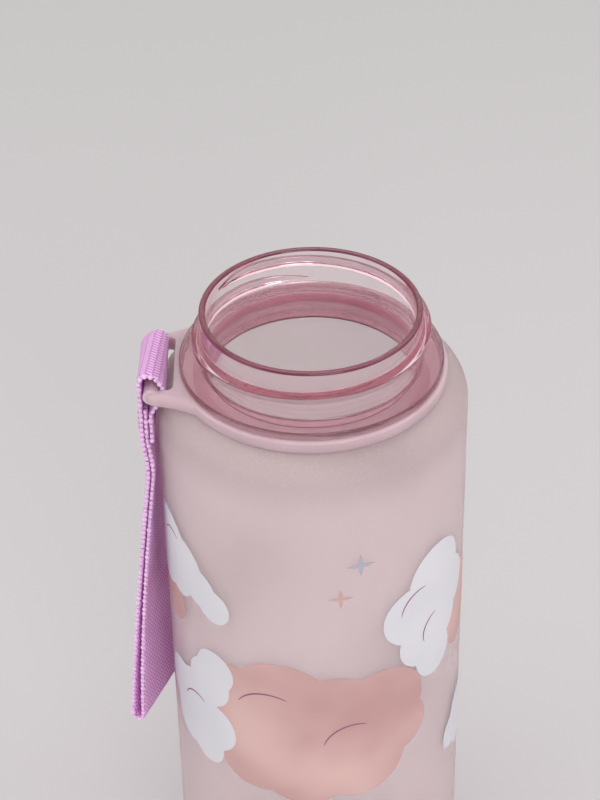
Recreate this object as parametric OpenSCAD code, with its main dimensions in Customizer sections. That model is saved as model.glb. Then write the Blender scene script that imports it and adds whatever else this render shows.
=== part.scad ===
// Children's drinking bottle: a one-piece frosted bottle with a clear threaded neck,
// a carrier ring that turns on the neck, and a sewn webbing loop that swings on the
// ring's lug. Millimetres, +Z up, origin on the bottle's axis at the foot.

/* [Bottle body] */
// Height from the foot to the rim
bottle_h = 190; // [150:1:240]
// Outer diameter of the straight body
body_d = 73; // [68:0.5:85]
// Wall thickness of the body
wall = 1.6; // [1:0.1:2.2]
// Thickness of the base
floor_t = 2; // [1.6:0.1:3]
// Radius of the rounded shoulder
shoulder_round = 7.4; // [5:0.1:9]
// Slope of the shoulder cone, in degrees
shoulder_angle = 23.7; // [15:0.5:35]
// Radius of the rounded edge at the foot
foot_round = 7; // [5:0.5:10]
// Width of the flat foot ring
foot_w = 5; // [3:0.5:8]
// Height of the raised middle of the base
punt_h = 2.6; // [1:0.1:5]

/* [Neck] */
// Outer diameter of the neck below its thread
neck_d = 51.3; // [44:0.1:54]
// Wall thickness of the neck
neck_wall = 1.5; // [1.2:0.1:2.2]
// Height from the flange to the rim
neck_h = 12.8; // [11:0.1:16]
// How far the neck's straight inside runs below the flange's top
neck_root_h = 6.9; // [6.2:0.1:9]
// Rounding of the rim
lip_round = 0.6; // [0.2:0.1:0.7]
// Outer diameter of the flange
flange_d = 61.4; // [60.8:0.1:63]
// Thickness of the flange
flange_t = 1.7; // [1.2:0.1:2.5]
// Outer diameter of the waist that the ring turns on
waist_d = 60; // [58:0.1:60.2]
// Height of the waist
waist_h = 2.74; // [2.2:0.02:4]

/* [Thread] */
// Rise of the thread in one turn
thread_pitch = 4.75; // [3.5:0.05:5]
// Length of the thread, in degrees round the neck
thread_sweep = 420; // [300:10:450]
// Height of the thread's crest over the neck
thread_h = 1.95; // [1:0.05:2.5]
// Width of the thread at its root
thread_root_w = 2.9; // [2:0.1:3.2]
// Width of the thread at its crest
thread_crest_w = 1.1; // [0.6:0.1:1.6]
// Depth below the rim at which the thread starts
thread_start_depth = 8.7; // [8:0.1:10]
// Direction round the neck in which the thread starts, in degrees
thread_start_angle = 90; // [0:5:360]

/* [Carrier ring] */
// Wall of the ring
ring_wall = 1.2; // [0.9:0.1:1.6]
// Running gap between the ring and the bottle
ring_gap = 0.3; // [0.2:0.05:0.5]
// Gap under the flange
flange_gap = 0.2; // [0.15:0.05:0.5]
// Rounding of the ring's upper edge
ring_round = 0.7; // [0.3:0.1:0.8]

/* [Lug] */
// Thickness of the lug
lug_t = 3.8; // [3.2:0.1:5]
// Thickness of each cheek beside the slot
cheek_t = 2.45; // [2:0.05:4]
// Radius of the lug's outer corners
lug_corner = 4.2; // [3.5:0.1:6]
// Radius of the hollow flare between lug and ring
lug_flare = 20; // [12:1:30]
// Width of the slot between ring and bar
slot_w = 3.1; // [2.8:0.05:5]
// Least wall between the ring's bore and the slot
slot_web = 1.5; // [1:0.1:2.5]
// Diameter of the strap bar
bar_d = 3.8; // [3:0.1:4.2]
// Depth of the bar's axis below the top of the lug
bar_drop = 1.3; // [1:0.1:1.9]
// How far the cheeks stand out past the bar
cheek_proud = 0.55; // [0:0.05:1]

/* [Strap] */
// Width of the webbing
strap_w = 20; // [15:0.5:25]
// Thickness of the webbing
strap_t = 1.15; // [0.8:0.05:1.4]
// Gap between the webbing's edge and each cheek
strap_side_gap = 0.55; // [0.3:0.05:1]
// Gap between the bar and the inside of the loop
loop_gap = 0.35; // [0.25:0.05:0.6]
// How far the loop stands up off the bar
loop_rise = 0.5; // [0:0.1:0.6]
// Length that hangs below the bar's axis
strap_drop = 105; // [60:1:140]
// Depth below the bar's axis at which three layers lie together
stack_start = 6; // [5.5:0.5:9]
// Length of the sewn overlap of three layers
overlap_l = 7.6; // [6:0.2:20]
// Gap between the hanging webbing and the body
strap_body_gap = 0.35; // [0.3:0.05:2]
// Depth below the bar's axis at which the hanging loop starts to turn
twist_start = 24; // [18:1:40]
// How far the near edge leans out at the lower end
lean_max = 7.9; // [0:0.1:10]
// Thickness of the open fold at the lower end
fold_t = 3.8; // [2.4:0.1:5]

/* [Stitching] */
// Diameter of the sewing thread
yarn_d = 0.5; // [0.3:0.05:0.8]
// Number of rows of stitches across the overlap
stitch_rows = 4; // [2:1:5]
// Distance from one row to the next
stitch_row_step = 1.5; // [1:0.1:1.8]
// Number of stitches in a row
stitch_count = 8; // [4:1:12]
// Distance of the row's ends from the webbing's edges
stitch_margin = 2; // [1:0.1:4]

/* [Hidden] */

// Smoothness
round_fn = 128;
arc_steps = 14;
over = 1;

// Heights of the neck's features
flange_top_z = bottle_h - neck_h;
flange_bot_z = flange_top_z - flange_t;
shoulder_top_z = flange_bot_z - waist_h;
neck_root_z = flange_top_z - neck_root_h;
flange_edge = 0.25;

// Radii
body_r = body_d / 2;
neck_r = neck_d / 2;
mouth_r = neck_r - neck_wall;
flange_r = flange_d / 2;
waist_r = waist_d / 2;

// Shoulder: a cone from the waist, then an arc that meets the straight wall
shoulder_cx = body_r - shoulder_round;
shoulder_tan_r = shoulder_cx + shoulder_round * sin(shoulder_angle);
shoulder_cz = shoulder_top_z - tan(shoulder_angle) * (shoulder_tan_r - waist_r)
    - shoulder_round * cos(shoulder_angle);

// Base: foot ring, then a slope up to the raised middle
foot_out_r = body_r - foot_round;
foot_in_r = foot_out_r - foot_w;
punt_slope_w = 2.5 * punt_h;
root_fillet = 0.8;

// Carrier ring
ring_in_r = waist_r + ring_gap;
ring_out_r = ring_in_r + ring_wall;
ring_top_z = flange_bot_z - flange_gap;

// Lug, in plan: centres of its corner and flare arcs, on the near side
slot_half_l = strap_w / 2 + strap_side_gap;
slot_in_x = ring_in_r + slot_web;
bar_r = bar_d / 2;
bar_x = slot_in_x + slot_w + bar_r;
lug_out_x = bar_x + bar_r + cheek_proud;
lug_half_w = slot_half_l + cheek_t;
lug_sink = 0.08;
lug_bite = ring_wall / 3;
lug_top_z = ring_top_z - lug_sink;
bar_z = lug_top_z - bar_drop;
slot_round = 1.4;
corner_c = [lug_out_x - lug_corner, lug_half_w - lug_corner];
corner_far = norm(corner_c);
corner_dir = corner_c / corner_far;
flare_a = ring_out_r - lug_bite + lug_flare;
flare_b = lug_corner + lug_flare;
flare_along = (flare_a * flare_a - flare_b * flare_b + corner_far * corner_far) / (2 * corner_far);
flare_side = sqrt(flare_a * flare_a - flare_along * flare_along);
flare_c = flare_along * corner_dir + flare_side * [-corner_dir[1], corner_dir[0]];
ring_touch_angle = atan2(flare_c[1], flare_c[0]);
corner_touch = flare_c - corner_c;
corner_touch_angle = atan2(corner_touch[1], corner_touch[0]);

// Strap: faces of the three sewn layers, then of the two layers that hang below them
loop_in_r = bar_r + loop_gap;
loop_out_r = loop_in_r + strap_t;
layer_gap = 0.05;
stack_tuck = 0.25;
hang_step = 0.4;
step_in_h = 1;
step_out_h = 3;
stack_in_x = body_r + strap_body_gap;
stack_out_x = max(stack_in_x + 3 * strap_t, bar_x + loop_out_r - stack_tuck);
hang_t = 2 * strap_t + layer_gap;
hang_out_x = stack_out_x - hang_step;
hang_in_x = hang_out_x - hang_t;
hang_mid_x = (hang_out_x + hang_in_x) / 2;
stack_end = stack_start + overlap_l;
twist_span = strap_drop - twist_start;
yarn_sink = yarn_d / 4;
twist_steps = 16;
fold_steps = 5;

// Points on an arc about c, from angle a0 to a1
function arc(c, r, a0, a1, n = arc_steps) =
    [for (i = [0 : n]) c + r * [cos(a0 + (a1 - a0) * i / n), sin(a0 + (a1 - a0) * i / n)]];

// The shoulder's outline from the waist down to the straight wall, grown by g
function shoulder_line(g, from_r) = concat(
    [[from_r, shoulder_top_z + g / cos(shoulder_angle) - tan(shoulder_angle) * (from_r - waist_r)]],
    arc([shoulder_cx, shoulder_cz], shoulder_round + g, 90 - shoulder_angle, 0));

// ---------- Bottle ----------

module bottle_outline() {
    outer = concat(
        [[0, punt_h], [foot_in_r - punt_slope_w, punt_h], [foot_in_r, 0]],
        arc([foot_out_r, foot_round], foot_round, -90, 0),
        [for (i = [arc_steps + 1 : -1 : 0]) shoulder_line(0, waist_r)[i]],
        [[waist_r, flange_bot_z], [flange_r - flange_edge, flange_bot_z],
         [flange_r, flange_bot_z + flange_edge], [flange_r, flange_top_z - flange_edge],
         [flange_r - flange_edge, flange_top_z], [neck_r, flange_top_z]],
        arc([neck_r - lip_round, bottle_h - lip_round], lip_round, 0, 90),
        arc([mouth_r + lip_round, bottle_h - lip_round], lip_round, 90, 180));
    shoulder_in_r = max(waist_r, mouth_r + 2 * root_fillet);
    inner = concat(
        arc([mouth_r + root_fillet, neck_root_z + root_fillet], root_fillet, 180, 270),
        [[shoulder_in_r, neck_root_z]],
        arc([shoulder_cx, shoulder_cz], shoulder_round - wall, 90 - shoulder_angle, 0),
        arc([foot_out_r, foot_round], foot_round - wall, 0, -90),
        [[foot_in_r, floor_t], [foot_in_r - punt_slope_w, punt_h + floor_t], [0, punt_h + floor_t]]);
    polygon(concat(outer, inner));
}

// Height of the thread's middle at a given sweep
function thread_z(s) = bottle_h - thread_start_depth + thread_pitch * s / 360;

// Share of the full thread at a given sweep: it runs out at both ends
thread_runout = 32;
function thread_share(s) = min(1, s / thread_runout, (thread_sweep - s) / thread_runout);

function thread_section(s) = let(
    share = sin(90 * max(0, thread_share(s))),
    crest = neck_r - over / 4 + (thread_h + over / 4) * share,
    narrow = 0.35 + 0.65 * share,
    root_r = neck_r - neck_wall / 2,
    a = thread_start_angle + s,
    z = thread_z(s))
    [for (p = [[root_r, -thread_root_w], [crest, -thread_crest_w],
               [crest, thread_crest_w], [root_r, thread_root_w]])
        [p[0] * cos(a), p[0] * sin(a), z + p[1] * narrow / 2]];

module thread() {
    steps = ceil(thread_sweep / 6);
    corners = 4;
    points = [for (i = [0 : steps]) each thread_section(thread_sweep * i / steps)];
    sides = [for (i = [0 : steps - 1], k = [0 : corners - 1])
        [i * corners + k, i * corners + (k + 1) % corners,
         (i + 1) * corners + (k + 1) % corners, (i + 1) * corners + k]];
    triangles = [for (q = sides) each [[q[0], q[1], q[2]], [q[0], q[2], q[3]]]];
    first = [for (k = [corners - 1 : -1 : 0]) k];
    last = [for (k = [0 : corners - 1]) steps * corners + k];
    polyhedron(points, concat(triangles, [first, last]), convexity = 6);
}

module bottle() {
    color([0.86, 0.74, 0.77, 0.8]) {
        rotate_extrude($fn = round_fn) bottle_outline();
        thread();
    }
}

// ---------- Carrier ring ----------

module ring_outline() {
    bottom = shoulder_line(ring_gap, ring_in_r);
    slope = tan(shoulder_angle);
    polygon(concat(
        [bottom[0], [ring_out_r, bottom[0][1] - slope * (ring_out_r - ring_in_r)]],
        arc([ring_out_r - ring_round, ring_top_z - ring_round], ring_round, 0, 90, 6),
        [[ring_in_r, ring_top_z]]));
}

// Half of the lug's plan outline: flare, corner, slot side and the slot's inner corner
function lug_half() = let(
    slot_c = [slot_in_x + slot_round, slot_half_l - slot_round],
    corner_end = asin((slot_half_l - corner_c[1]) / lug_corner),
    flare = arc(flare_c, lug_flare, 180 + ring_touch_angle, 180 + corner_touch_angle))
    concat(
        [for (i = [0 : arc_steps - 1]) flare[i]],
        arc(corner_c, lug_corner, corner_touch_angle, corner_end),
        arc(slot_c, slot_round, 90, 180, 6));

// The whole outline, open at the slot and closed by an arc inside the ring's wall
module lug_plan() {
    half = lug_half();
    last = len(half) - 1;
    inside_r = ring_in_r + ring_wall / 2;
    polygon(concat(
        [for (p = half) [-p[0], p[1]]],
        [for (i = [last : -1 : 0]) [-half[i][0], -half[i][1]]],
        arc([0, 0], inside_r, 180 + ring_touch_angle, 180 - ring_touch_angle, 2 * arc_steps)));
}

// The space that the shoulder needs under the lug
module shoulder_room() {
    rotate_extrude($fn = round_fn)
        polygon(concat([[0, shoulder_cz]], shoulder_line(ring_gap + lug_sink, 0)));
}

module carrier_ring() {
    color([0.85, 0.76, 0.79]) {
        rotate_extrude($fn = round_fn) ring_outline();
        difference() {
            translate([0, 0, lug_top_z - lug_t]) linear_extrude(lug_t) lug_plan();
            shoulder_room();
        }
        translate([-bar_x, 0, bar_z])
            rotate([90, 0, 0])
                cylinder(r = bar_r, h = 2 * slot_half_l + cheek_t / 2, center = true, $fn = 48);
    }
}

// ---------- Strap ----------

// Side view of the webbing's upper part, x outwards from the bottle's axis, z from the bar
module strap_side_view() {
    difference() {
        polygon(concat(
            arc([bar_x, loop_rise], loop_out_r, 180, 0),
            [[bar_x + loop_out_r, 0], [stack_out_x, -stack_start], [stack_out_x, -stack_end],
             [hang_out_x, -stack_end - step_out_h], [hang_out_x, -twist_start],
             [hang_in_x, -twist_start], [hang_in_x, -stack_end - step_in_h],
             [stack_in_x, -stack_end], [stack_in_x, -stack_start],
             [bar_x - loop_out_r, 0]]));
        for (rise = [0, loop_rise])
            translate([bar_x, rise]) circle(r = loop_in_r, $fn = 64);
        translate([bar_x - loop_in_r, 0]) square([2 * loop_in_r, loop_rise]);
    }
}

// How far the near edge has leaned out at a share u of the turning length
function lean(u) = lean_max * (0.6 * u + 0.4 * sin(90 * u));

// Thickness of the two hanging layers: they part a little towards the fold
function hang_thickness(u) = hang_t + (fold_t - hang_t) * pow(u, 2);

// One turned section of the hanging loop at share u, drawn in by cut at the fold
function hang_section(u, z, thickness) = let(
    turn = asin(lean(u) / strap_w),
    mid = [-hang_mid_x - lean(u) / 2, 0],
    along = [sin(turn), cos(turn)],
    across = [cos(turn), -sin(turn)])
    [for (c = [[-1, -1], [1, -1], [1, 1], [-1, 1]])
        let(p = mid + c[1] * strap_w / 2 * along + c[0] * thickness / 2 * across) [p[0], p[1], z]];

module strap_hang() {
    fold_r = fold_t / 2;
    straight = [for (i = [0 : twist_steps]) let(u = i / twist_steps)
        hang_section(u, bar_z - twist_start - (twist_span - fold_r) * u, hang_thickness(u))];
    fold = [for (i = [1 : fold_steps]) let(a = 80 * i / fold_steps)
        hang_section(1, bar_z - strap_drop + fold_r - fold_r * sin(a), fold_t * cos(a))];
    rings = concat(straight, fold);
    n = 4;
    last = len(rings) - 1;
    sides = [for (j = [0 : last - 1], i = [0 : n - 1])
        each [[j * n + i, j * n + (i + 1) % n, (j + 1) * n + (i + 1) % n],
              [j * n + i, (j + 1) * n + (i + 1) % n, (j + 1) * n + i]]];
    top = [[3, 2, 1, 0]];
    bottom = [[for (i = [0 : n - 1]) last * n + i]];
    polyhedron([for (r = rings) each r], concat(sides, top, bottom), convexity = 4);
}

module strap() {
    color([0.76, 0.52, 0.72]) {
        translate([0, strap_w / 2, bar_z])
            rotate([90, 0, 0])
                mirror([1, 0, 0])
                    linear_extrude(strap_w) strap_side_view();
        strap_hang();
    }
}

// ---------- Stitching ----------

module stitch_row() {
    row_l = strap_w - 2 * stitch_margin;
    for (face = [stack_in_x + yarn_sink, stack_out_x - yarn_sink])
        translate([-face, 0, 0])
            rotate([90, 0, 0])
                cylinder(d = yarn_d, h = row_l, center = true, $fn = 16);
    for (i = [0 : stitch_count])
        translate([-(stack_in_x + stack_out_x) / 2, row_l * (i / stitch_count - 0.5), 0])
            rotate([0, 90, 0])
                cylinder(d = yarn_d * 0.8, h = stack_out_x - stack_in_x, center = true, $fn = 16);
}

module strap_stitching() {
    rows_h = (stitch_rows - 1) * stitch_row_step;
    color([0.70, 0.42, 0.68])
        for (i = [0 : stitch_rows - 1])
            translate([0, 0, bar_z - stack_start - overlap_l / 2 + rows_h / 2 - i * stitch_row_step])
                stitch_row();
}

bottle();
carrier_ring();
strap();
strap_stitching();
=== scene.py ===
"""Children's drinking bottle: frosted body, clear threaded neck, carrier ring and a webbing loop.

Size fields are millimetres in the part's own frame: the axis is Z, the foot is at zero and
the lug points along -X. Meshes are written in metres, in place, so every piece stays at the
origin.
"""

import logging
import math
from collections.abc import Callable, Sequence
from dataclasses import dataclass
from enum import Enum

import bmesh
import bpy
from mathutils import Matrix, Vector

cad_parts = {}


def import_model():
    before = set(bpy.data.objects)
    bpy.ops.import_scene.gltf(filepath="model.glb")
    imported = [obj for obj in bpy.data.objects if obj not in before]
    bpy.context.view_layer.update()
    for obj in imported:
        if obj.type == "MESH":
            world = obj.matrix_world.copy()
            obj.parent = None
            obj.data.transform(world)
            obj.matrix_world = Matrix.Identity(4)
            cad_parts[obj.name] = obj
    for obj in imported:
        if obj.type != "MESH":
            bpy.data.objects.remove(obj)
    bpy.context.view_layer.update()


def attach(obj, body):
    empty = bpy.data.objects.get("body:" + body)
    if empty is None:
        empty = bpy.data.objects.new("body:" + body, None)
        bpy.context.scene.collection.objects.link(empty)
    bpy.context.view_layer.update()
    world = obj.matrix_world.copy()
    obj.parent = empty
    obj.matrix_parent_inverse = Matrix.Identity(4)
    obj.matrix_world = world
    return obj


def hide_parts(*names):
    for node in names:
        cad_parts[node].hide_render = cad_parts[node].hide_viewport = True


MM = 0.001
TURN = 2 * math.pi
LOG = logging.getLogger("bottle")

Colour = tuple[float, float, float]
Point2 = tuple[float, float]
Point3 = tuple[float, float, float]
Stroke = tuple[float, float, float, float, float]
Socket = bpy.types.NodeSocket


class Body(Enum):
    """The moving bodies of the part."""

    BOTTLE = "bottle"
    RING = "ring"
    STRAP = "strap"


class Slot(Enum):
    """The material slots that the record names."""

    BOTTLE = "bottle"
    RING = "ring"
    WEBBING = "webbing"
    THREAD = "thread"


class Ink(Enum):
    """The colours of the printed decoration."""

    CLOUD = "cloud"
    PEACH = "peach"
    SPARK_BLUE = "spark_blue"
    MAUVE = "mauve"


def linear(red: float, green: float, blue: float) -> Colour:
    """Turns a display colour into linear light.

    Args:
        red: Red from 0 to 255.
        green: Green from 0 to 255.
        blue: Blue from 0 to 255.

    Returns:
        The same colour as linear values from 0 to 1.
    """

    def one(value: float) -> float:
        """One channel, decoded."""
        share = value / 255
        return share / 12.92 if share <= 0.04045 else ((share + 0.055) / 1.055) ** 2.4

    return (one(red), one(green), one(blue))


def opaque(colour: Colour) -> tuple[float, float, float, float]:
    """The colour with an alpha of one."""
    return (*colour, 1.0)


class Graph:
    """A node tree with short calls that add, set and join nodes."""

    def __init__(self, tree: bpy.types.NodeTree) -> None:
        """Keeps the tree that the calls work on.

        Args:
            tree: The shader or geometry tree.
        """
        self.tree = tree

    def add(self, kind: str, **settings: object) -> bpy.types.Node:
        """Adds a node.

        Args:
            kind: The node's type name.
            settings: Properties of the node to set.

        Returns:
            The new node.
        """
        node = self.tree.nodes.new(kind)
        for name, value in settings.items():
            setattr(node, name, value)
        return node

    def join(self, source: Socket, target: Socket) -> None:
        """Links one socket to another."""
        self.tree.links.new(source, target)

    def feed(self, target: Socket, value: object) -> None:
        """Links a socket, or sets a plain value.

        Args:
            target: The input to fill.
            value: A socket to link, or a value to set.
        """
        if isinstance(value, bpy.types.NodeSocket):
            self.join(value, target)
        else:
            target.default_value = value

    def math(self, operation: str, *values: object, clamp: bool = False) -> Socket:
        """Adds a Math node.

        Args:
            operation: The Math node's operation.
            values: Its inputs, as sockets or numbers.
            clamp: True to keep the result from 0 to 1.

        Returns:
            The result's socket.
        """
        node = self.add("ShaderNodeMath", operation=operation, use_clamp=clamp)
        for target, value in zip(node.inputs, values):
            self.feed(target, value)
        return node.outputs[0]

    def scaled(self, vector: object, amount: object) -> Socket:
        """Adds a Vector Math node that multiplies a vector by a number.

        Args:
            vector: The vector, as a socket or a value.
            amount: The number, as a socket or a value.

        Returns:
            The result's socket.
        """
        node = self.add("ShaderNodeVectorMath", operation="SCALE")
        self.feed(node.inputs[0], vector)
        self.feed(node.inputs["Scale"], amount)
        return node.outputs[0]

    def split(self, vector: Socket) -> tuple[Socket, Socket, Socket]:
        """The three numbers of a vector."""
        node = self.add("ShaderNodeSeparateXYZ")
        self.join(vector, node.inputs[0])
        return tuple(node.outputs)

    def object_place(self) -> Socket:
        """The place on the piece, in its own frame."""
        return self.add("ShaderNodeTexCoord").outputs["Object"]

    def named(self, name: str) -> Socket:
        """A number that the mesh carries, read in a geometry tree."""
        node = self.add("GeometryNodeInputNamedAttribute", data_type="FLOAT")
        node.inputs["Name"].default_value = name
        return node.outputs["Attribute"]

    def ramp(
        self, value: Socket, low: float, high: float, to_low: float = 0.0, to_high: float = 1.0
    ) -> Socket:
        """Adds a smooth Map Range node.

        Args:
            value: What is mapped.
            low: The value that gives to_low.
            high: The value that gives to_high.
            to_low: The result at low.
            to_high: The result at high.

        Returns:
            The mapped value's socket.
        """
        node = self.add("ShaderNodeMapRange", interpolation_type="SMOOTHSTEP")
        for target, given in zip(node.inputs, (value, low, high, to_low, to_high)):
            self.feed(target, given)
        return node.outputs[0]

    def noise(self, place: Socket, scale: object, detail: float) -> Socket:
        """Adds a Noise Texture.

        Args:
            place: The coordinates.
            scale: Its scale in cells per metre, as a socket or a number.
            detail: Its octaves.

        Returns:
            The noise value's socket.
        """
        node = self.add("ShaderNodeTexNoise")
        self.join(place, node.inputs["Vector"])
        self.feed(node.inputs["Scale"], scale)
        node.inputs["Detail"].default_value = detail
        return node.outputs[0]

    def blend(self, share: object, first: object, second: object) -> Socket:
        """Adds a colour Mix node.

        Args:
            share: How much of the second colour shows.
            first: The first colour or socket.
            second: The second colour or socket.

        Returns:
            The mixed colour's socket.
        """
        node = self.add("ShaderNodeMix", data_type="RGBA")
        for place, value in ((0, share), (6, first), (7, second)):
            if isinstance(value, tuple) and len(value) == 3:
                value = opaque(value)
            self.feed(node.inputs[place], value)
        return node.outputs[2]


def node_group(
    name: str,
    kind: str,
    inputs: Sequence[tuple[str, str, object]],
    outputs: Sequence[tuple[str, str]],
) -> tuple[Graph, bpy.types.Node, bpy.types.Node]:
    """Makes an empty node group with named sockets.

    Args:
        name: The group's name.
        kind: ShaderNodeTree or GeometryNodeTree.
        inputs: Name, socket type and default of each input.
        outputs: Name and socket type of each output.

    Returns:
        The graph, its input node and its output node.
    """
    tree = bpy.data.node_groups.new(name, kind)
    for label, socket, default in inputs:
        made = tree.interface.new_socket(label, in_out="INPUT", socket_type=socket)
        if default is not None:
            made.default_value = default
    for label, socket in outputs:
        tree.interface.new_socket(label, in_out="OUTPUT", socket_type=socket)
    graph = Graph(tree)
    return graph, graph.add("NodeGroupInput"), graph.add("NodeGroupOutput")


FLOAT, VECTOR, WHOLE = "NodeSocketFloat", "NodeSocketVector", "NodeSocketInt"
GEOMETRY, MATERIAL = "NodeSocketGeometry", "NodeSocketMaterial"


class Effects:
    """Shader node groups that more than one finish uses, each built once."""

    @staticmethod
    def grain() -> bpy.types.NodeTree:
        """A fine moulded or sprayed grain with slow tint changes.

        Returns:
            The group, with Height, Mask and Cloud outputs.
        """
        found = bpy.data.node_groups.get("grain")
        if found:
            return found
        graph, start, end = node_group(
            "grain",
            "ShaderNodeTree",
            [("Vector", VECTOR, None), ("Fine", FLOAT, 2600.0), ("Slow", FLOAT, 28.0)],
            [("Height", FLOAT), ("Mask", FLOAT), ("Cloud", FLOAT)],
        )
        fine = graph.noise(start.outputs["Vector"], start.outputs["Fine"], 3.0)
        slow = graph.noise(start.outputs["Vector"], start.outputs["Slow"], 2.0)
        graph.join(fine, end.inputs["Height"])
        graph.join(graph.ramp(fine, 0.56, 0.7), end.inputs["Mask"])
        graph.join(graph.ramp(slow, 0.3, 0.7), end.inputs["Cloud"])
        return graph.tree

    @staticmethod
    def yarn() -> bpy.types.NodeTree:
        """Twisted fibres that run along the first texture axis.

        Returns:
            The group, with Height and Tint outputs.
        """
        found = bpy.data.node_groups.get("yarn")
        if found:
            return found
        graph, start, end = node_group(
            "yarn",
            "ShaderNodeTree",
            [("Vector", VECTOR, None), ("Twist", FLOAT, 4200.0), ("Slant", FLOAT, 0.6)],
            [("Height", FLOAT), ("Tint", FLOAT)],
        )
        x, y, _ = graph.split(start.outputs["Vector"])
        across = graph.math("ADD", y, graph.math("MULTIPLY", x, start.outputs["Slant"]))
        wave = graph.math("SINE", graph.math("MULTIPLY", across, start.outputs["Twist"]))
        fuzz = graph.noise(start.outputs["Vector"], 5200.0, 3.0)
        height = graph.math("MULTIPLY_ADD", wave, 0.25, fuzz)
        graph.join(height, end.inputs["Height"])
        graph.join(graph.ramp(fuzz, 0.35, 0.65), end.inputs["Tint"])
        return graph.tree


def place_group(graph: Graph, tree: bpy.types.NodeTree, **values: object) -> bpy.types.Node:
    """Places a node group in a material.

    Args:
        graph: The material's graph.
        tree: The group.
        values: Its inputs by name, as sockets or numbers.

    Returns:
        The group node.
    """
    node = graph.add("ShaderNodeGroup", node_tree=tree)
    for name, value in values.items():
        graph.feed(node.inputs[name], value)
    return node


def preset(node: bpy.types.Node, values: dict[str, object]) -> None:
    """Sets plain values on a node's own sockets."""
    for name, value in values.items():
        node.inputs[name].default_value = value


@dataclass(frozen=True)
class Finish:
    """What every finish has: a name, and one Principled shader to work from."""

    name: str

    def begin(self) -> tuple[bpy.types.Material, Graph, bpy.types.Node]:
        """Starts the material.

        Returns:
            The material, its graph and its Principled node.
        """
        material = bpy.data.materials.new(self.name)
        material.use_nodes = True
        graph = Graph(material.node_tree)
        shader = next(n for n in material.node_tree.nodes if n.type == "BSDF_PRINCIPLED")
        return material, graph, shader

    @staticmethod
    def bump(graph: Graph, shader: bpy.types.Node, height: Socket, depth: float) -> None:
        """Roughens the surface.

        Args:
            graph: The material's graph.
            shader: The shader whose normal is bent.
            height: The height's socket, from 0 to 1.
            depth: What a height of 1 is in metres.
        """
        node = graph.add("ShaderNodeBump")
        preset(node, {"Strength": 1.0, "Distance": depth})
        graph.join(height, node.inputs["Height"])
        graph.join(node.outputs[0], shader.inputs["Normal"])


@dataclass(frozen=True)
class ClearPlastic(Finish):
    """Tinted clear copolyester, darker where light travels further inside it, with painted shade on
    its turned edges.
    """

    surface: Colour = (1.0, 0.975, 0.98)
    # Painted shade: the dark plum for the turned edges and the thread ridge, standing in for the
    # darkening that refraction gives there.
    edge: Colour = linear(96, 10, 46)
    absorbed: Colour = (0.96, 0.26, 0.46)
    density: float = 70.0
    haze: float = 0.6
    ior: float = 1.54

    def build(self) -> bpy.types.Material:
        """Makes the material: painted shade on its turned edges, with a trace of handling haze.

        Returns:
            The material.
        """
        material, graph, shader = self.begin()
        # Painted shade: the stored edge number mixes the base colour towards the dark plum.
        turned = graph.add("ShaderNodeAttribute", attribute_name="edge")
        share = graph.ramp(turned.outputs["Fac"], 0.0, 1.0)
        graph.join(graph.blend(share, self.surface, self.edge), shader.inputs["Base Color"])
        preset(shader, {"IOR": self.ior, "Transmission Weight": 1.0})
        place = graph.object_place()
        grain = place_group(graph, Effects.grain(), Vector=place, Fine=900.0, Slow=60.0)
        handled = graph.ramp(grain.outputs["Cloud"], 0, 1, 0.0, 0.05)
        haze = graph.add("ShaderNodeAttribute", attribute_name="haze")
        rough = graph.math("MULTIPLY_ADD", haze.outputs["Fac"], self.haze, handled)
        graph.join(rough, shader.inputs["Roughness"])
        volume = graph.add("ShaderNodeVolumeAbsorption")
        preset(volume, {"Color": opaque(self.absorbed), "Density": self.density})
        output = next(n for n in material.node_tree.nodes if n.type == "OUTPUT_MATERIAL")
        graph.join(volume.outputs[0], output.inputs["Volume"])
        return material


@dataclass(frozen=True)
class FrostedPlastic(Finish):
    """Translucent plastic; outside it carries a sprayed frost coat, inside it is smooth."""

    tint: Colour = linear(239, 224, 226)
    deep: Colour = linear(236, 220, 223)
    # Painted shade: the darker tint that the shoulder band gets.
    shoulder: Colour = linear(214, 197, 198)
    rough: float = 0.5
    grain_depth: float = 0.00004
    through: float = 0.72
    ior: float = 1.22
    shoulder_from: float = 0.156
    shoulder_to: float = 0.171
    # Painted glints: pale specks on the grain, with more of them on the shoulder.
    painted_glint: Colour = (1.0, 0.95, 0.96)
    painted_glint_share: float = 0.13
    painted_glint_shoulder: float = 0.22

    def build(self) -> bpy.types.Material:
        """Makes the material with its grain, its slow tint changes, painted shade on the shoulder
        and painted glints.

        Returns:
            The material.
        """
        material, graph, shader = self.begin()
        place = graph.object_place()
        grain = place_group(graph, Effects.grain(), Vector=place, Fine=2400.0, Slow=22.0)
        tint = graph.blend(grain.outputs["Cloud"], self.tint, self.deep)
        # Painted shade on the shoulder band, and more painted glints there.
        high = graph.ramp(graph.split(place)[2], self.shoulder_from, self.shoulder_to)
        tint = graph.blend(high, tint, self.shoulder)
        painted_glint = graph.math("MULTIPLY_ADD", high, self.painted_glint_shoulder, self.painted_glint_share)
        painted_glint_mask = graph.math("MULTIPLY", grain.outputs["Mask"], painted_glint)
        graph.join(graph.blend(painted_glint_mask, tint, self.painted_glint), shader.inputs["Base Color"])
        rough = graph.ramp(grain.outputs["Mask"], 0, 1, self.rough, self.rough * 0.7)
        graph.join(rough, shader.inputs["Roughness"])
        preset(shader, {"IOR": self.ior, "Transmission Weight": self.through})
        self.bump(graph, shader, grain.outputs["Height"], self.grain_depth)
        return material


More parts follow.
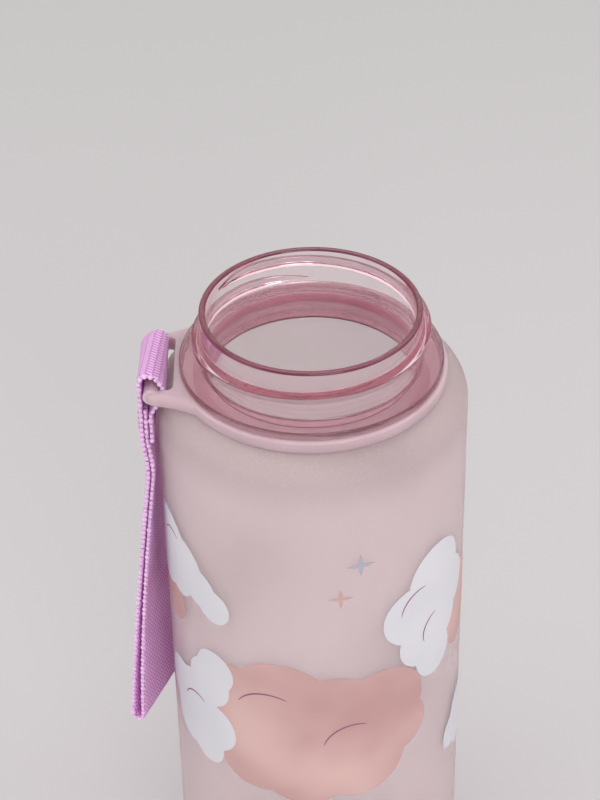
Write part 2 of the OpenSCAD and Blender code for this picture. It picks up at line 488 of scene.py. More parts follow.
@dataclass(frozen=True)
class SatinPlastic(Finish):
    """Soft, slightly see-through moulded plastic with a fine texture."""

    colour: Colour = linear(196, 174, 181)
    shade: Colour = linear(188, 162, 170)

    def build(self) -> bpy.types.Material:
        """Makes the material with its texture, flow marks and soft light inside.

        Returns:
            The material.
        """
        material, graph, shader = self.begin()
        place = graph.object_place()
        grain = place_group(graph, Effects.grain(), Vector=place, Fine=3000.0, Slow=45.0)
        colour = graph.blend(grain.outputs["Cloud"], self.colour, self.shade)
        graph.join(colour, shader.inputs["Base Color"])
        rough = graph.ramp(grain.outputs["Height"], 0.3, 0.7, 0.27, 0.38)
        graph.join(rough, shader.inputs["Roughness"])
        glow = {"Weight": 0.85, "Radius": (1.0, 0.8, 0.85), "Scale": 0.006}
        preset(shader, {f"Subsurface {name}": value for name, value in glow.items()})
        self.bump(graph, shader, grain.outputs["Height"], 0.00002)
        return material


@dataclass(frozen=True)
class Webbing(Finish):
    """Woven nylon whose ribs cross the band; its UV map is in metres, across and along."""

    # The rib colour is the pale crest, partly a painted highlight; the valley colour is painted
    # shade for the gaps and holes.
    rib: Colour = linear(240, 186, 238)
    valley_painted_shade: Colour = linear(140, 30, 136)
    rib_pitch: float = 0.00135
    end_pitch: float = 0.00105
    slant: float = 0.55
    gap_painted_shade: float = 0.85
    hole_base: float = 0.3
    hole_more: float = 0.6
    fuzz: float = 0.22
    depth: float = 0.00026

    def build(self) -> bpy.types.Material:
        """Makes the weave: ribs, the gaps between warp ends, and fibres, with painted highlight on
        the rib crests and painted shade in the gaps and holes.

        Returns:
            The material.
        """
        material, graph, shader = self.begin()
        place = graph.add("ShaderNodeUVMap", uv_map="UVMap").outputs[0]
        u, v, _ = graph.split(place)
        along = graph.math("DIVIDE", v, self.rib_pitch)
        row = graph.math("FLOOR", along)
        rib = graph.math("SINE", graph.math("MULTIPLY", graph.math("FRACT", along), math.pi))
        odd = graph.math("MULTIPLY", graph.math("MODULO", row, 2.0), 0.5)
        across = graph.math("ADD", graph.math("DIVIDE", u, self.end_pitch), odd)
        lean = graph.math("SUBTRACT", graph.math("MULTIPLY", odd, 4.0), 1.0)
        from_middle = graph.math("SUBTRACT", graph.math("FRACT", along), 0.5)
        slant = graph.math("MULTIPLY", from_middle, lean)
        slanted = graph.math("MULTIPLY_ADD", slant, self.slant, across)
        end = graph.math("ABSOLUTE", graph.math("SINE", graph.math("MULTIPLY", slanted, math.pi)))
        # Painted shade: the holes between ribs and the gaps between warp ends darken towards the
        # valley colour.
        low = graph.math("SUBTRACT", 1.0, graph.ramp(rib, 0.0, 0.7))
        gap = graph.math("SUBTRACT", 1.0, graph.ramp(end, 0.0, 0.6))
        deep = graph.math("MULTIPLY_ADD", gap, self.hole_more, self.hole_base)
        hole = graph.math("MULTIPLY", low, deep)
        seam = graph.math("MULTIPLY_ADD", gap, self.gap_painted_shade, hole)
        weave = graph.math("SUBTRACT", 1.0, seam, clamp=True)
        yarn = place_group(graph, Effects.yarn(), Vector=place, Twist=7000.0, Slant=0.5)
        fuzz = graph.math("MULTIPLY_ADD", yarn.outputs["Tint"], self.fuzz, -self.fuzz / 2)
        share = graph.math("ADD", weave, fuzz, clamp=True)
        graph.join(graph.blend(share, self.valley_painted_shade, self.rib), shader.inputs["Base Color"])
        preset(
            shader,
            {
                "Roughness": 0.72,
                "Sheen Weight": 0.2,
                "Sheen Roughness": 0.4,
                "Sheen Tint": opaque(linear(244, 160, 240)),
                "Subsurface Weight": 0.9,
                "Subsurface Radius": (1.0, 0.6, 1.0),
                "Subsurface Scale": 0.002,
            },
        )
        height = graph.math("MULTIPLY_ADD", yarn.outputs["Height"], 0.25, weave)
        self.bump(graph, shader, height, self.depth)
        return material


@dataclass(frozen=True)
class YarnFinish(Finish):
    """Twisted sewing or edge yarn."""

    colour: Colour = linear(246, 216, 246)
    shade: Colour = linear(214, 152, 212)

    def build(self) -> bpy.types.Material:
        """Makes the material with its twist and fuzz.

        Returns:
            The material.
        """
        material, graph, shader = self.begin()
        place = graph.object_place()
        yarn = place_group(graph, Effects.yarn(), Vector=place, Twist=9000.0, Slant=1.0)
        colour = graph.blend(yarn.outputs["Tint"], self.shade, self.colour)
        graph.join(colour, shader.inputs["Base Color"])
        preset(shader, {"Roughness": 0.8, "Sheen Weight": 0.4})
        self.bump(graph, shader, yarn.outputs["Height"], 0.00006)
        return material


@dataclass(frozen=True)
class PrintInk(Finish):
    """Matt screen-printed ink with a fading second tone."""

    colour: Colour = (0.7, 0.7, 0.7)
    second: Colour = (0.6, 0.6, 0.6)

    def build(self) -> bpy.types.Material:
        """Makes the ink, with a slow change between its tones and a fine tooth.

        Returns:
            The material.
        """
        material, graph, shader = self.begin()
        place = graph.object_place()
        grain = place_group(graph, Effects.grain(), Vector=place, Fine=3400.0, Slow=34.0)
        tone = graph.blend(grain.outputs["Cloud"], self.colour, self.second)
        graph.join(tone, shader.inputs["Base Color"])
        rough = graph.ramp(grain.outputs["Height"], 0.3, 0.7, 0.5, 0.62)
        graph.join(rough, shader.inputs["Roughness"])
        self.bump(graph, shader, grain.outputs["Height"], 0.000012)
        return material


@dataclass(frozen=True)
class Backdrop(Finish):
    """Pale seamless paper that keeps shadows, with painted shade that darkens it a little with
    distance.
    """

    # Painted shade: the paper darkens from near to far, in place of the light's falloff.
    near: Colour = linear(200, 197, 199)
    far: Colour = linear(185, 184, 184)

    def build(self) -> bpy.types.Material:
        """Makes the paper, with painted shade making it a little darker far away.

        Returns:
            The material.
        """
        material, graph, shader = self.begin()
        place = graph.object_place()
        # Painted shade: darker with distance from the camera.
        share = graph.ramp(graph.split(place)[1], -0.1, 0.9)
        tone = graph.blend(share, self.near, self.far)
        graph.join(tone, shader.inputs["Base Color"])
        preset(shader, {"Roughness": 0.9, "Specular IOR Level": 0.1})
        return material


def place_object(name: str, data: bpy.types.ID) -> bpy.types.Object:
    """Puts new data into the scene as an object at the origin."""
    placed = bpy.data.objects.new(name, data)
    bpy.context.scene.collection.objects.link(placed)
    return placed


def seed_mesh(
    name: str, points: Sequence[Sequence[float]], pairs: Sequence[tuple[int, int]] = ()
) -> bpy.types.Object:
    """Makes an object of bare points, joined by edges where pairs are given."""
    mesh = bpy.data.meshes.new(name)
    mesh.from_pydata([tuple(p) for p in points], list(pairs), [])
    return place_object(name, mesh)


def keep_numbers(piece: bpy.types.Object, name: str, values: Sequence[float]) -> None:
    """Stores one number per point on a mesh, under a name that a node can read."""
    layer = piece.data.attributes.new(name, "FLOAT", "POINT")
    layer.data.foreach_set("value", values)


def polar(radius: float, angle: float, height: float) -> Point3:
    """A point in metres, from a radius and a height in millimetres and an angle in radians."""
    return (radius * MM * math.cos(angle), radius * MM * math.sin(angle), height * MM)


def make_mesh(
    name: str, points: Sequence[Sequence[float]], faces: Sequence[Sequence[int]]
) -> bpy.types.Object:
    """Makes a smooth mesh object in the scene.

    Args:
        name: The piece's name.
        points: Its vertices in metres.
        faces: Its faces, as vertex numbers.

    Returns:
        The object, at the origin.
    """
    mesh = bpy.data.meshes.new(name)
    mesh.from_pydata([tuple(p) for p in points], [], [tuple(f) for f in faces])
    mesh.validate()
    mesh.update()
    mesh.shade_smooth()
    return place_object(name, mesh)


def settle(piece: bpy.types.Object) -> bpy.types.Object:
    """Turns a piece with modifiers into a plain mesh.

    Args:
        piece: The object, whose modifiers are then removed.

    Returns:
        The same object with the evaluated mesh.
    """
    graph = bpy.context.evaluated_depsgraph_get()
    done = bpy.data.meshes.new_from_object(piece.evaluated_get(graph))
    piece.modifiers.clear()
    piece.data = done
    return piece


def end_tree(
    graph: Graph,
    shape: Socket,
    start: bpy.types.Node,
    end: bpy.types.Node,
    smooth: bool = False,
) -> None:
    """Ends a geometry tree: makes its instances real and gives them the tree's finish.

    Args:
        graph: The tree's graph.
        shape: The geometry so far.
        start: The tree's input node, which has the Finish.
        end: The tree's output node.
        smooth: True to shade the result smooth.
    """
    steps = ["GeometryNodeRealizeInstances"] + ["GeometryNodeSetShadeSmooth"] * smooth
    for kind in steps:
        node = graph.add(kind)
        graph.join(shape, node.inputs[0])
        shape = node.outputs[0]
    paint = graph.add("GeometryNodeSetMaterial")
    graph.join(shape, paint.inputs["Geometry"])
    graph.join(start.outputs["Finish"], paint.inputs["Material"])
    graph.join(paint.outputs[0], end.inputs[0])


def run_nodes(
    piece: bpy.types.Object, tree: bpy.types.NodeTree, values: dict[str, object]
) -> bpy.types.Object:
    """Runs a geometry node tree on a piece and keeps the result as its mesh.

    Args:
        piece: The object that carries the tree.
        tree: The tree.
        values: The tree's inputs by name.

    Returns:
        The same object with the tree's result.
    """
    modifier = piece.modifiers.new(tree.name, "NODES")
    modifier.node_group = tree
    for item in tree.interface.items_tree:
        if item.item_type == "SOCKET" and item.in_out == "INPUT" and item.name in values:
            modifier[item.identifier] = values[item.name]
    return settle(piece)


def lathe(
    name: str, outline: Sequence[Point2], steps: int, at_axis: bool = False
) -> bpy.types.Object:
    """Turns a closed outline about the axis, with its faces outwards.

    Args:
        name: The piece's name.
        outline: Radius and height of each point, anticlockwise, in millimetres.
        steps: How many faces go round.
        at_axis: True where the outline starts and ends on the axis, so it isn't closed by a face.

    Returns:
        The turned object.
    """
    points: list[Point3] = []
    rows: list[list[int]] = []
    for radius, height in outline:
        if radius < 1e-6:
            rows.append([len(points)] * steps)
            points.append((0.0, 0.0, height * MM))
            continue
        rows.append(list(range(len(points), len(points) + steps)))
        for i in range(steps):
            points.append(polar(radius, TURN * i / steps, height))
    faces = []
    last = len(outline) - 1 if at_axis else len(outline)
    for k in range(last):
        low, high = rows[k], rows[(k + 1) % len(rows)]
        for i in range(steps):
            j = (i + 1) % steps
            loop = [low[i], low[j], high[j], high[i]]
            faces.append(list(dict.fromkeys(loop)))
    return make_mesh(name, points, faces)


def arc(centre: Point2, radius: float, start: float, end: float, steps: int) -> list[Point2]:
    """Points on an arc.

    Args:
        centre: The arc's centre.
        radius: Its radius.
        start: Its first angle in degrees.
        end: Its last angle in degrees.
        steps: How many pieces it is cut into.

    Returns:
        steps + 1 points.
    """
    angles = [math.radians(start + (end - start) * i / steps) for i in range(steps + 1)]
    return [(centre[0] + radius * math.cos(a), centre[1] + radius * math.sin(a)) for a in angles]


def line(first: Point2, last: Point2, steps: int) -> list[Point2]:
    """Points on a straight line.

    Args:
        first: Where it starts.
        last: Where it ends.
        steps: How many pieces it is cut into.

    Returns:
        steps + 1 points.
    """
    return [
        (first[0] + (last[0] - first[0]) * i / steps, first[1] + (last[1] - first[1]) * i / steps)
        for i in range(steps + 1)
    ]


@dataclass
class Bottle:
    """The moulded bottle: a clear threaded neck on a frosted body."""

    rim_z: float = 190.0
    body_r: float = 36.5
    wall: float = 1.6
    floor_t: float = 2.0
    shoulder_r: float = 7.4
    slope: float = 23.7
    foot_r: float = 7.0
    foot_w: float = 5.0
    punt: float = 2.6
    neck_r: float = 25.65
    mouth_r: float = 24.15
    flange_r: float = 30.7
    flange_top: float = 177.2
    flange_bottom: float = 175.5
    waist_r: float = 30.0
    shoulder_top: float = 172.76
    root_z: float = 170.3
    lip: float = 0.6
    thread_h: float = 1.95
    thread_pitch: float = 4.75
    thread_sweep: float = 420.0
    thread_root: float = 2.9
    thread_crest: float = 1.1
    thread_depth: float = 8.7
    thread_runout: float = 32.0
    thread_start: float = 90.0
    seam_gap: float = 0.02
    seam_lift: float = 0.08
    seam_up: float = 0.3
    foot_up: float = 1.0
    # Share of painted shade that the thread ridge adds to the clear plastic's edge darkening.
    ridge_painted_shade: float = 0.42
    thread_clear: float = 0.46
    neck_steps: int = 288
    body_steps: int = 192

    def shoulder_centre(self) -> Point2:
        """Where the shoulder's arc has its centre, as radius and height.

        Returns:
            Its radius and its height.
        """
        angle = math.radians(self.slope)
        across = self.body_r - self.shoulder_r
        touch = across + self.shoulder_r * math.sin(angle)
        drop = math.tan(angle) * (touch - self.waist_r) + self.shoulder_r * math.cos(angle)
        return (across, self.shoulder_top - drop)

    def neck_outline(self) -> tuple[list[Point2], list[float], list[float]]:
        """The clear part's outline, anticlockwise from its waist.

        Returns:
            Radius and height of each point, its share of painted edge shade from 0 to 1, and its
            haze from 0 to 1.
        """
        root, edge, fillet = 0.25, 0.3, 0.45
        lip, top = self.lip, self.rim_z - self.lip
        root_at = (self.neck_r + fillet, self.flange_top + fillet)
        flange_in, flange_out = self.neck_r + fillet + 0.4, self.flange_r - edge - 0.2
        # Each part gives its points, their share of painted shade for the clear plastic's turned
        # edges, and their haze.
        parts: list[tuple[list[Point2], float, float]] = [
            (line((self.waist_r, self.root_z), (self.mouth_r + root, self.root_z), 8), 0.0, 1.0),
            (arc((self.mouth_r + root, self.root_z + root), root, 270, 180, 5)[1:], 1.0, 0.5),
            (line((self.mouth_r, self.root_z + root), (self.mouth_r, top), 24)[1:], 0.0, 0.0),
            (arc((self.mouth_r + lip, top), lip, 180, 126, 4)[1:], 1.0, 0.0),
            (arc((self.mouth_r + lip, top), lip, 114, 90, 3), 0.72, 0.0),
            (arc((self.neck_r - lip, top), lip, 90, 66, 3), 0.72, 0.0),
            (arc((self.neck_r - lip, top), lip, 54, 0, 4), 1.0, 0.0),
            (line((self.neck_r, top), (self.neck_r, self.flange_top + fillet), 96)[1:], 0.0, 0.0),
            (arc(root_at, fillet, 180, 270, 4)[1:], 0.5, 0.0),
            (line((flange_in, self.flange_top), (flange_out, self.flange_top), 4), 0.0, 0.0),
            (arc((self.flange_r - edge, self.flange_top - edge), edge, 90, 0, 4), 0.7, 0.0),
            (arc((self.flange_r - edge, self.flange_bottom + edge), edge, 0, -90, 4), 0.4, 0.3),
            ([(self.waist_r, self.flange_bottom), (self.waist_r, self.shoulder_top)], 0.0, 1.0),
        ]
        points = [point for group, _, _ in parts for point in group][::-1]
        shares = [share for group, share, _ in parts for _ in group][::-1]
        hazes = [haze for group, _, haze in parts for _ in group][::-1]
        return points, shares, hazes

    def body_outline(self) -> list[Point2]:
        """The frosted part's outline, anticlockwise from the axis under the base.

        Returns:
            Radius and height of each point.
        """
        cx, cz = self.shoulder_centre()
        foot_x = self.body_r - self.foot_r
        inner_x = foot_x - self.foot_w
        slope_x = inner_x - 2.5 * self.punt
        join = self.waist_r + self.seam_gap
        return [
            (0.0, self.punt),
            (slope_x, self.punt),
            (inner_x, 0.0),
            *arc((foot_x, self.foot_r), self.foot_r, -90, 0, 12),
            *line((self.body_r, self.foot_r), (self.body_r, cz), 24)[1:-1],
            *arc((cx, cz), self.shoulder_r, 0, 90 - self.slope, 14),
            (join, self.shoulder_top),
            (join, self.root_z + self.seam_lift),
            *arc((cx, cz), self.shoulder_r - self.wall, 90 - self.slope, 0, 14),
            *line((self.body_r - self.wall, cz), (self.body_r - self.wall, self.foot_r), 24)[1:-1],
            *arc((foot_x, self.foot_r), self.foot_r - self.wall, 0, -90, 12),
            (inner_x, self.floor_t),
            (slope_x, self.punt + self.floor_t),
            (0.0, self.punt + self.floor_t),
        ]

    @staticmethod
    def thread_tree() -> bpy.types.NodeTree:
        """Geometry nodes that raise a screw thread out of the neck's outer wall and paint shade
        along its ridge.

        Returns:
            The tree, whose sizes are named inputs in metres and radians.
        """
        graph, start, end = node_group(
            "neck_thread",
            "GeometryNodeTree",
            [
                ("Geometry", GEOMETRY, None),
                ("Neck Radius", FLOAT, 0.02565),
                ("Thread Height", FLOAT, 0.002),
                ("Pitch", FLOAT, 0.00475),
                ("Sweep", FLOAT, 7.33),
                ("Runout", FLOAT, 0.56),
                ("Start Angle", FLOAT, 1.57),
                ("Start Height", FLOAT, 0.18),
                ("Root Width", FLOAT, 0.0029),
                ("Crest Width", FLOAT, 0.0011),
                ("Lowest Height", FLOAT, 0.1775),
                ("Ridge Painted Shade", FLOAT, 0.4),
                ("Finish", MATERIAL, None),
            ],
            [("Geometry", GEOMETRY)],
        )
        given = start.outputs
        x, y, z = graph.split(graph.add("GeometryNodeInputPosition").outputs[0])
        squares = graph.math("ADD", graph.math("MULTIPLY", x, x), graph.math("MULTIPLY", y, y))
        radius = graph.math("SQRT", squares)
        off_wall = graph.math("ABSOLUTE", graph.math("SUBTRACT", radius, given["Neck Radius"]))
        on_wall = graph.math("LESS_THAN", off_wall, 0.00002)
        above = graph.math("GREATER_THAN", z, given["Lowest Height"])
        angle = graph.math("SUBTRACT", graph.math("ARCTAN2", y, x), given["Start Angle"])
        first = graph.math("FLOORED_MODULO", angle, TURN)
        raised: Socket | None = None
        for turns in (0, 1):
            sweep = graph.math("ADD", first, TURN * turns)
            middle = graph.math(
                "ADD",
                given["Start Height"],
                graph.math("MULTIPLY", given["Pitch"], graph.math("DIVIDE", sweep, TURN)),
            )
            left = graph.math("SUBTRACT", given["Sweep"], sweep)
            near = graph.math("MINIMUM", sweep, left)
            share = graph.math("DIVIDE", near, given["Runout"], clamp=True)
            eased = graph.math("SINE", graph.math("MULTIPLY", share, math.pi / 2))
            narrow = graph.math("MULTIPLY_ADD", eased, 0.65, 0.35)
            away = graph.math("ABSOLUTE", graph.math("SUBTRACT", z, middle))
            half_root, half_crest = (
                graph.math("MULTIPLY", graph.math("MULTIPLY", given[name], 0.5), narrow)
                for name in ("Root Width", "Crest Width")
            )
            flank = graph.ramp(away, half_crest, half_root, 1.0, 0.0)
            eased_flank = graph.math("MULTIPLY", flank, eased)
            height = graph.math("MULTIPLY", eased_flank, given["Thread Height"])
            raised = height if raised is None else graph.math("MAXIMUM", raised, height)
        masked = graph.math("MULTIPLY", raised, graph.math("MULTIPLY", on_wall, above))
        flat = graph.add("ShaderNodeCombineXYZ")
        graph.join(x, flat.inputs[0])
        graph.join(y, flat.inputs[1])
        outward = graph.add("ShaderNodeVectorMath", operation="NORMALIZE")
        graph.join(flat.outputs[0], outward.inputs[0])
        # Painted shade: the ridge adds its height share to the stored edge darkening.
        ridge = graph.math("DIVIDE", masked, given["Thread Height"])
        painted_edge_shade = graph.math("MULTIPLY_ADD", ridge, given["Ridge Painted Shade"], graph.named("edge"))
        store = graph.add("GeometryNodeStoreNamedAttribute", data_type="FLOAT", domain="POINT")
        store.inputs["Name"].default_value = "edge"
        graph.join(given["Geometry"], store.inputs["Geometry"])
        graph.join(painted_edge_shade, next(i for i in store.inputs if i.name == "Value" and i.enabled))
        move = graph.add("GeometryNodeSetPosition")
        graph.join(store.outputs[0], move.inputs["Geometry"])
        graph.join(graph.scaled(outward.outputs[0], masked), move.inputs["Offset"])
        end_tree(graph, move.outputs[0], start, end)
        return graph.tree

    def build(self) -> list[bpy.types.Object]:
        """Builds and dresses the neck and the body.

        Returns:
            The two pieces.
        """
        outline, shares, hazes = self.neck_outline()
        around = self.neck_steps
        neck = lathe("bottle_neck", outline, around)
        # The edge shares carry the clear plastic's painted shade; the hazes roughen it.
        for name, values in (("edge", shares), ("haze", hazes)):
            keep_numbers(neck, name, [value for value in values for _ in range(around)])
        run_nodes(
            neck,
            self.thread_tree(),
            {
                "Neck Radius": self.neck_r * MM,
                "Thread Height": self.thread_h * MM,
                "Pitch": self.thread_pitch * MM,
                "Sweep": math.radians(self.thread_sweep),
                "Runout": math.radians(self.thread_runout),
                "Start Angle": math.radians(self.thread_start),
                "Start Height": (self.rim_z - self.thread_depth) * MM,
                "Root Width": self.thread_root * MM,
                "Crest Width": self.thread_crest * MM,
                "Lowest Height": (self.flange_top + self.thread_clear) * MM,
                "Ridge Painted Shade": self.ridge_painted_shade,
                "Finish": ClearPlastic("clear_plastic").build(),
            },
        )
        body = lathe("bottle_body", self.body_outline(), self.body_steps, at_axis=True)
        frost = FrostedPlastic("frosted_plastic").build()
        smooth = FrostedPlastic(
            "smooth_inner_wall",
            tint=linear(255, 251, 252),
            deep=linear(254, 253, 253),
            shoulder=linear(253, 251, 252),
            rough=0.2,
            grain_depth=0.0,
            through=0.6,
        ).build()
        body.data.materials.append(frost)
        body.data.materials.append(smooth)
        cx, cz = self.shoulder_centre()
        for face in body.data.polygons:
            centre = face.center / MM
            radius = math.hypot(centre.x, centre.y)
            inner = radius < self.body_r - self.wall / 2
            if centre.z > cz:
                from_arc = math.hypot(radius - cx, centre.z - cz)
                under_neck = radius < cx and centre.z < self.root_z + self.seam_up
                inner = from_arc < self.shoulder_r - self.wall / 2 or under_neck
            if centre.z < self.foot_r:
                below = self.foot_r - centre.z
                past = max(radius - (self.body_r - self.foot_r), 0)
                from_arc = math.hypot(past, below)
                inner = from_arc < self.foot_r - self.wall / 2 and centre.z > self.foot_up
            face.material_index = int(inner)
        for piece in (neck, body):
            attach(piece, Body.BOTTLE.value)
            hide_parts("bottle")
        return [neck, body]


@dataclass
class CarrierRing:
    """The moulded ring round the waist, with its lug, slot and strap bar."""

    bottle: Bottle
    ring_wall: float = 1.2
    gap: float = 0.3
    top_gap: float = 0.2
    under_gap: float = 0.12
    rounding: float = 0.7
    lug_t: float = 3.8
    cheek: float = 2.45
    corner: float = 4.2
    flare: float = 20.0
    slot_w: float = 3.1
    web: float = 1.5
    slot_round: float = 1.4
    slot_half: float = 10.55
    bar_r: float = 1.9
    bar_drop: float = 1.3
    proud: float = 0.55
    sink: float = 0.08
    bullnose: float = 1.75
    core: float = 18.0
    reach: float = 2.0
    flat: float = 0.15

    def __post_init__(self) -> None:
        """Works out the places that follow from the sizes."""
        self.in_r = self.bottle.waist_r + self.gap
        self.out_r = self.in_r + self.ring_wall
        self.top = self.bottle.flange_bottom - self.top_gap
        self.slot_x = self.in_r + self.web
        self.bar_x = self.slot_x + self.slot_w + self.bar_r
        self.bar_z = self.top - self.sink - self.bar_drop

    def shoulder_line(self, grow: float, from_r: float) -> list[Point2]:
        """The shoulder's outline, moved outwards.

        Args:
            grow: How far it is moved.
            from_r: The radius that it starts from.

        Returns:
            Radius and height of each point, from the inside out.
        """
        b = self.bottle
        angle = math.radians(b.slope)
        first = b.shoulder_top + grow / math.cos(angle) - math.tan(angle) * (from_r - b.waist_r)
        rest = arc(b.shoulder_centre(), b.shoulder_r + grow, 90 - b.slope, 0, 14)
        return [(from_r, first), *rest]

    def collar(self) -> bpy.types.Object:
        """The plain ring.

        Returns:
            The ring, without its lug.
        """
        slope = math.tan(math.radians(self.bottle.slope))
        low = self.shoulder_line(self.under_gap, self.in_r)[0]
        out_low = low[1] - slope * (self.out_r - self.in_r)
        outline = [
            low,
            (self.out_r - self.flat, out_low + self.flat * slope),
            (self.out_r, out_low + self.flat),
            *arc((self.out_r - self.rounding, self.top - self.rounding), self.rounding, 0, 90, 7),
            (self.in_r + self.flat, self.top),
            (self.in_r, self.top - self.flat),
        ]
        return lathe("carrier_ring_body", outline, 256)

    def plan(self) -> list[Point2]:
        """Half of the lug's outline seen from above, on the side of +Y, as if it had no slot.

        Returns:
            The points from the ring outwards to the outer edge.
        """
        half_w = self.slot_half + self.cheek
        out_x = self.bar_x + self.bar_r + self.proud
        corner = Vector((out_x - self.corner, half_w - self.corner))
        a = self.out_r - self.ring_wall / 3 + self.flare
        b = self.corner + self.flare
        far = corner.length
        along = (a * a - b * b + far * far) / (2 * far)
        side = math.sqrt(a * a - along * along)
        way = corner.normalized()
        centre = along * way + side * Vector((-way.y, way.x))
        ring_angle = math.degrees(math.atan2(centre.y, centre.x))
        touch = centre - corner
        corner_angle = math.degrees(math.atan2(touch.y, touch.x))
        return [
            *arc(tuple(centre), self.flare, 180 + ring_angle, 180 + corner_angle, 20)[:-1],
            *arc(tuple(corner), self.corner, corner_angle, 0, 18),
        ]

    @staticmethod
    def slab(outline: list[Point2], low: float, high: float) -> bmesh.types.BMesh:
        """Raises an outline between two heights.

        Args:
            outline: The outline in millimetres.
            low: Its lower height.
            high: Its upper height.

        Returns:
            The closed mesh, whose first vertices are the lower outline and then the upper one.
        """
        mesh = bmesh.new()
        rings = [
            [mesh.verts.new((x * MM, y * MM, z * MM)) for x, y in outline] for z in (low, high)
        ]
        mesh.faces.new(rings[0])
        mesh.faces.new(rings[1][::-1])
        count = len(outline)
        for i in range(count):
            j = (i + 1) % count
            mesh.faces.new([rings[0][j], rings[0][i], rings[1][i], rings[1][j]])
        bmesh.ops.recalc_face_normals(mesh, faces=mesh.faces)
        mesh.verts.ensure_lookup_table()
        return mesh

    @staticmethod
    def to_object(name: str, mesh: bmesh.types.BMesh) -> bpy.types.Object:
        """Writes an edited mesh into a new object and frees it.

        Args:
            name: The object's name.
            mesh: The edited mesh.

        Returns:
            The new object.
        """
        data = bpy.data.meshes.new(name)
        mesh.to_mesh(data)
        mesh.free()
        return place_object(name, data)

    def plate(self) -> bpy.types.Object:
        """The lug's plate with its rounded outer edge, before its slot is cut.

        Returns:
            The plate.
        """
        half = self.plan()
        upper = [(-x, y) for x, y in half]
        lower = [(-x, -y) for x, y in reversed(half)]
        inward = self.core / math.hypot(*half[0])
        back = [(x * inward, y * inward) for x, y in (lower[-1], upper[0])]
        outline = upper + lower + back
        top = self.top - self.sink
        mesh = self.slab(outline, top - self.lug_t, top)
        count, rounded = len(outline), 2 * len(half) - 1
        chosen = [
            mesh.edges.get((mesh.verts[base + i], mesh.verts[base + i + 1]))
            for base in (0, count)
            for i in range(rounded)
        ]
        bmesh.ops.bevel(
            mesh,
            geom=chosen,
            offset=self.bullnose * MM,
            segments=8,
            profile=0.5,
            affect="EDGES",
            clamp_overlap=False,
        )
        return self.to_object("lug_plate", mesh)

    def slot_tool(self) -> bpy.types.Object:
        """What is cut out of the plate for the slot, open to the outside.

        Returns:
            The tool.
        """
        centre = (self.slot_x + self.slot_round, self.slot_half - self.slot_round)
        half = [(self.bar_x + 6, self.slot_half), *arc(centre, self.slot_round, 90, 180, 8)]
        outline = [(-x, y) for x, y in half] + [(-x, -y) for x, y in reversed(half)]
        mesh = self.slab(outline, self.top - self.lug_t - self.reach, self.top + self.reach)
        return self.to_object("slot_tool", mesh)

    def bar(self) -> bpy.types.Object:
        """The round bar that the strap hangs on.

        Returns:
            The bar.
        """
        steps, reach = 48, self.slot_half + self.cheek / 2
        points, faces = [], []
        for y in (-reach, reach):
            for i in range(steps):
                angle = TURN * i / steps
                points.append(
                    (
                        (-self.bar_x + self.bar_r * math.cos(angle)) * MM,
                        y * MM,
                        (self.bar_z + self.bar_r * math.sin(angle)) * MM,
                    )
                )
        for i in range(steps):
            j = (i + 1) % steps
            faces.append((i, steps + i, steps + j, j))
        faces.append(tuple(range(steps)))
        faces.append(tuple(range(steps, 2 * steps))[::-1])
        return make_mesh("strap_bar", points, faces)

    def room(self) -> bpy.types.Object:
        """The space over the shoulder and in the bore that the plate must leave free.

        Returns:
            The space, as a closed mesh.
        """
        start = self.in_r + self.ring_wall / 2
        line_out = self.shoulder_line(self.gap + self.sink, start)
        low = self.bottle.shoulder_centre()[1]
        high = self.top + self.reach
        outline = [(0.0, low), *reversed(line_out), (start, high), (0.0, high)]
        return lathe("shoulder_room", outline, 192, at_axis=True)

    @staticmethod
    def combine(target: bpy.types.Object, tool: bpy.types.Object, way: str) -> None:
        """Joins or cuts one closed mesh with another and removes the tool.

        Args:
            target: The mesh that is changed.
            tool: The mesh that is added or taken off.
            way: UNION or DIFFERENCE.
        """
        modifier = target.modifiers.new(way, "BOOLEAN")
        modifier.operation = way
        modifier.solver = "EXACT"
        modifier.object = tool
        settle(target)
        bpy.data.objects.remove(tool)

    def build(self) -> list[bpy.types.Object]:
        """Builds and dresses the ring.

        Returns:
            The one piece.
        """
        plate = self.plate()
        self.combine(plate, self.room(), "DIFFERENCE")
        self.combine(plate, self.slot_tool(), "DIFFERENCE")
        ring = self.collar()
        self.combine(ring, plate, "UNION")
        self.combine(ring, self.bar(), "UNION")
        ring.data.materials.clear()
        ring.data.materials.append(SatinPlastic("satin_plastic").build())
        ring.data.shade_smooth()
        ring.data.set_sharp_from_angle(angle=math.radians(34))
        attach(ring, Body.RING.value)
        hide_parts("carrier_ring")
        return [ring]


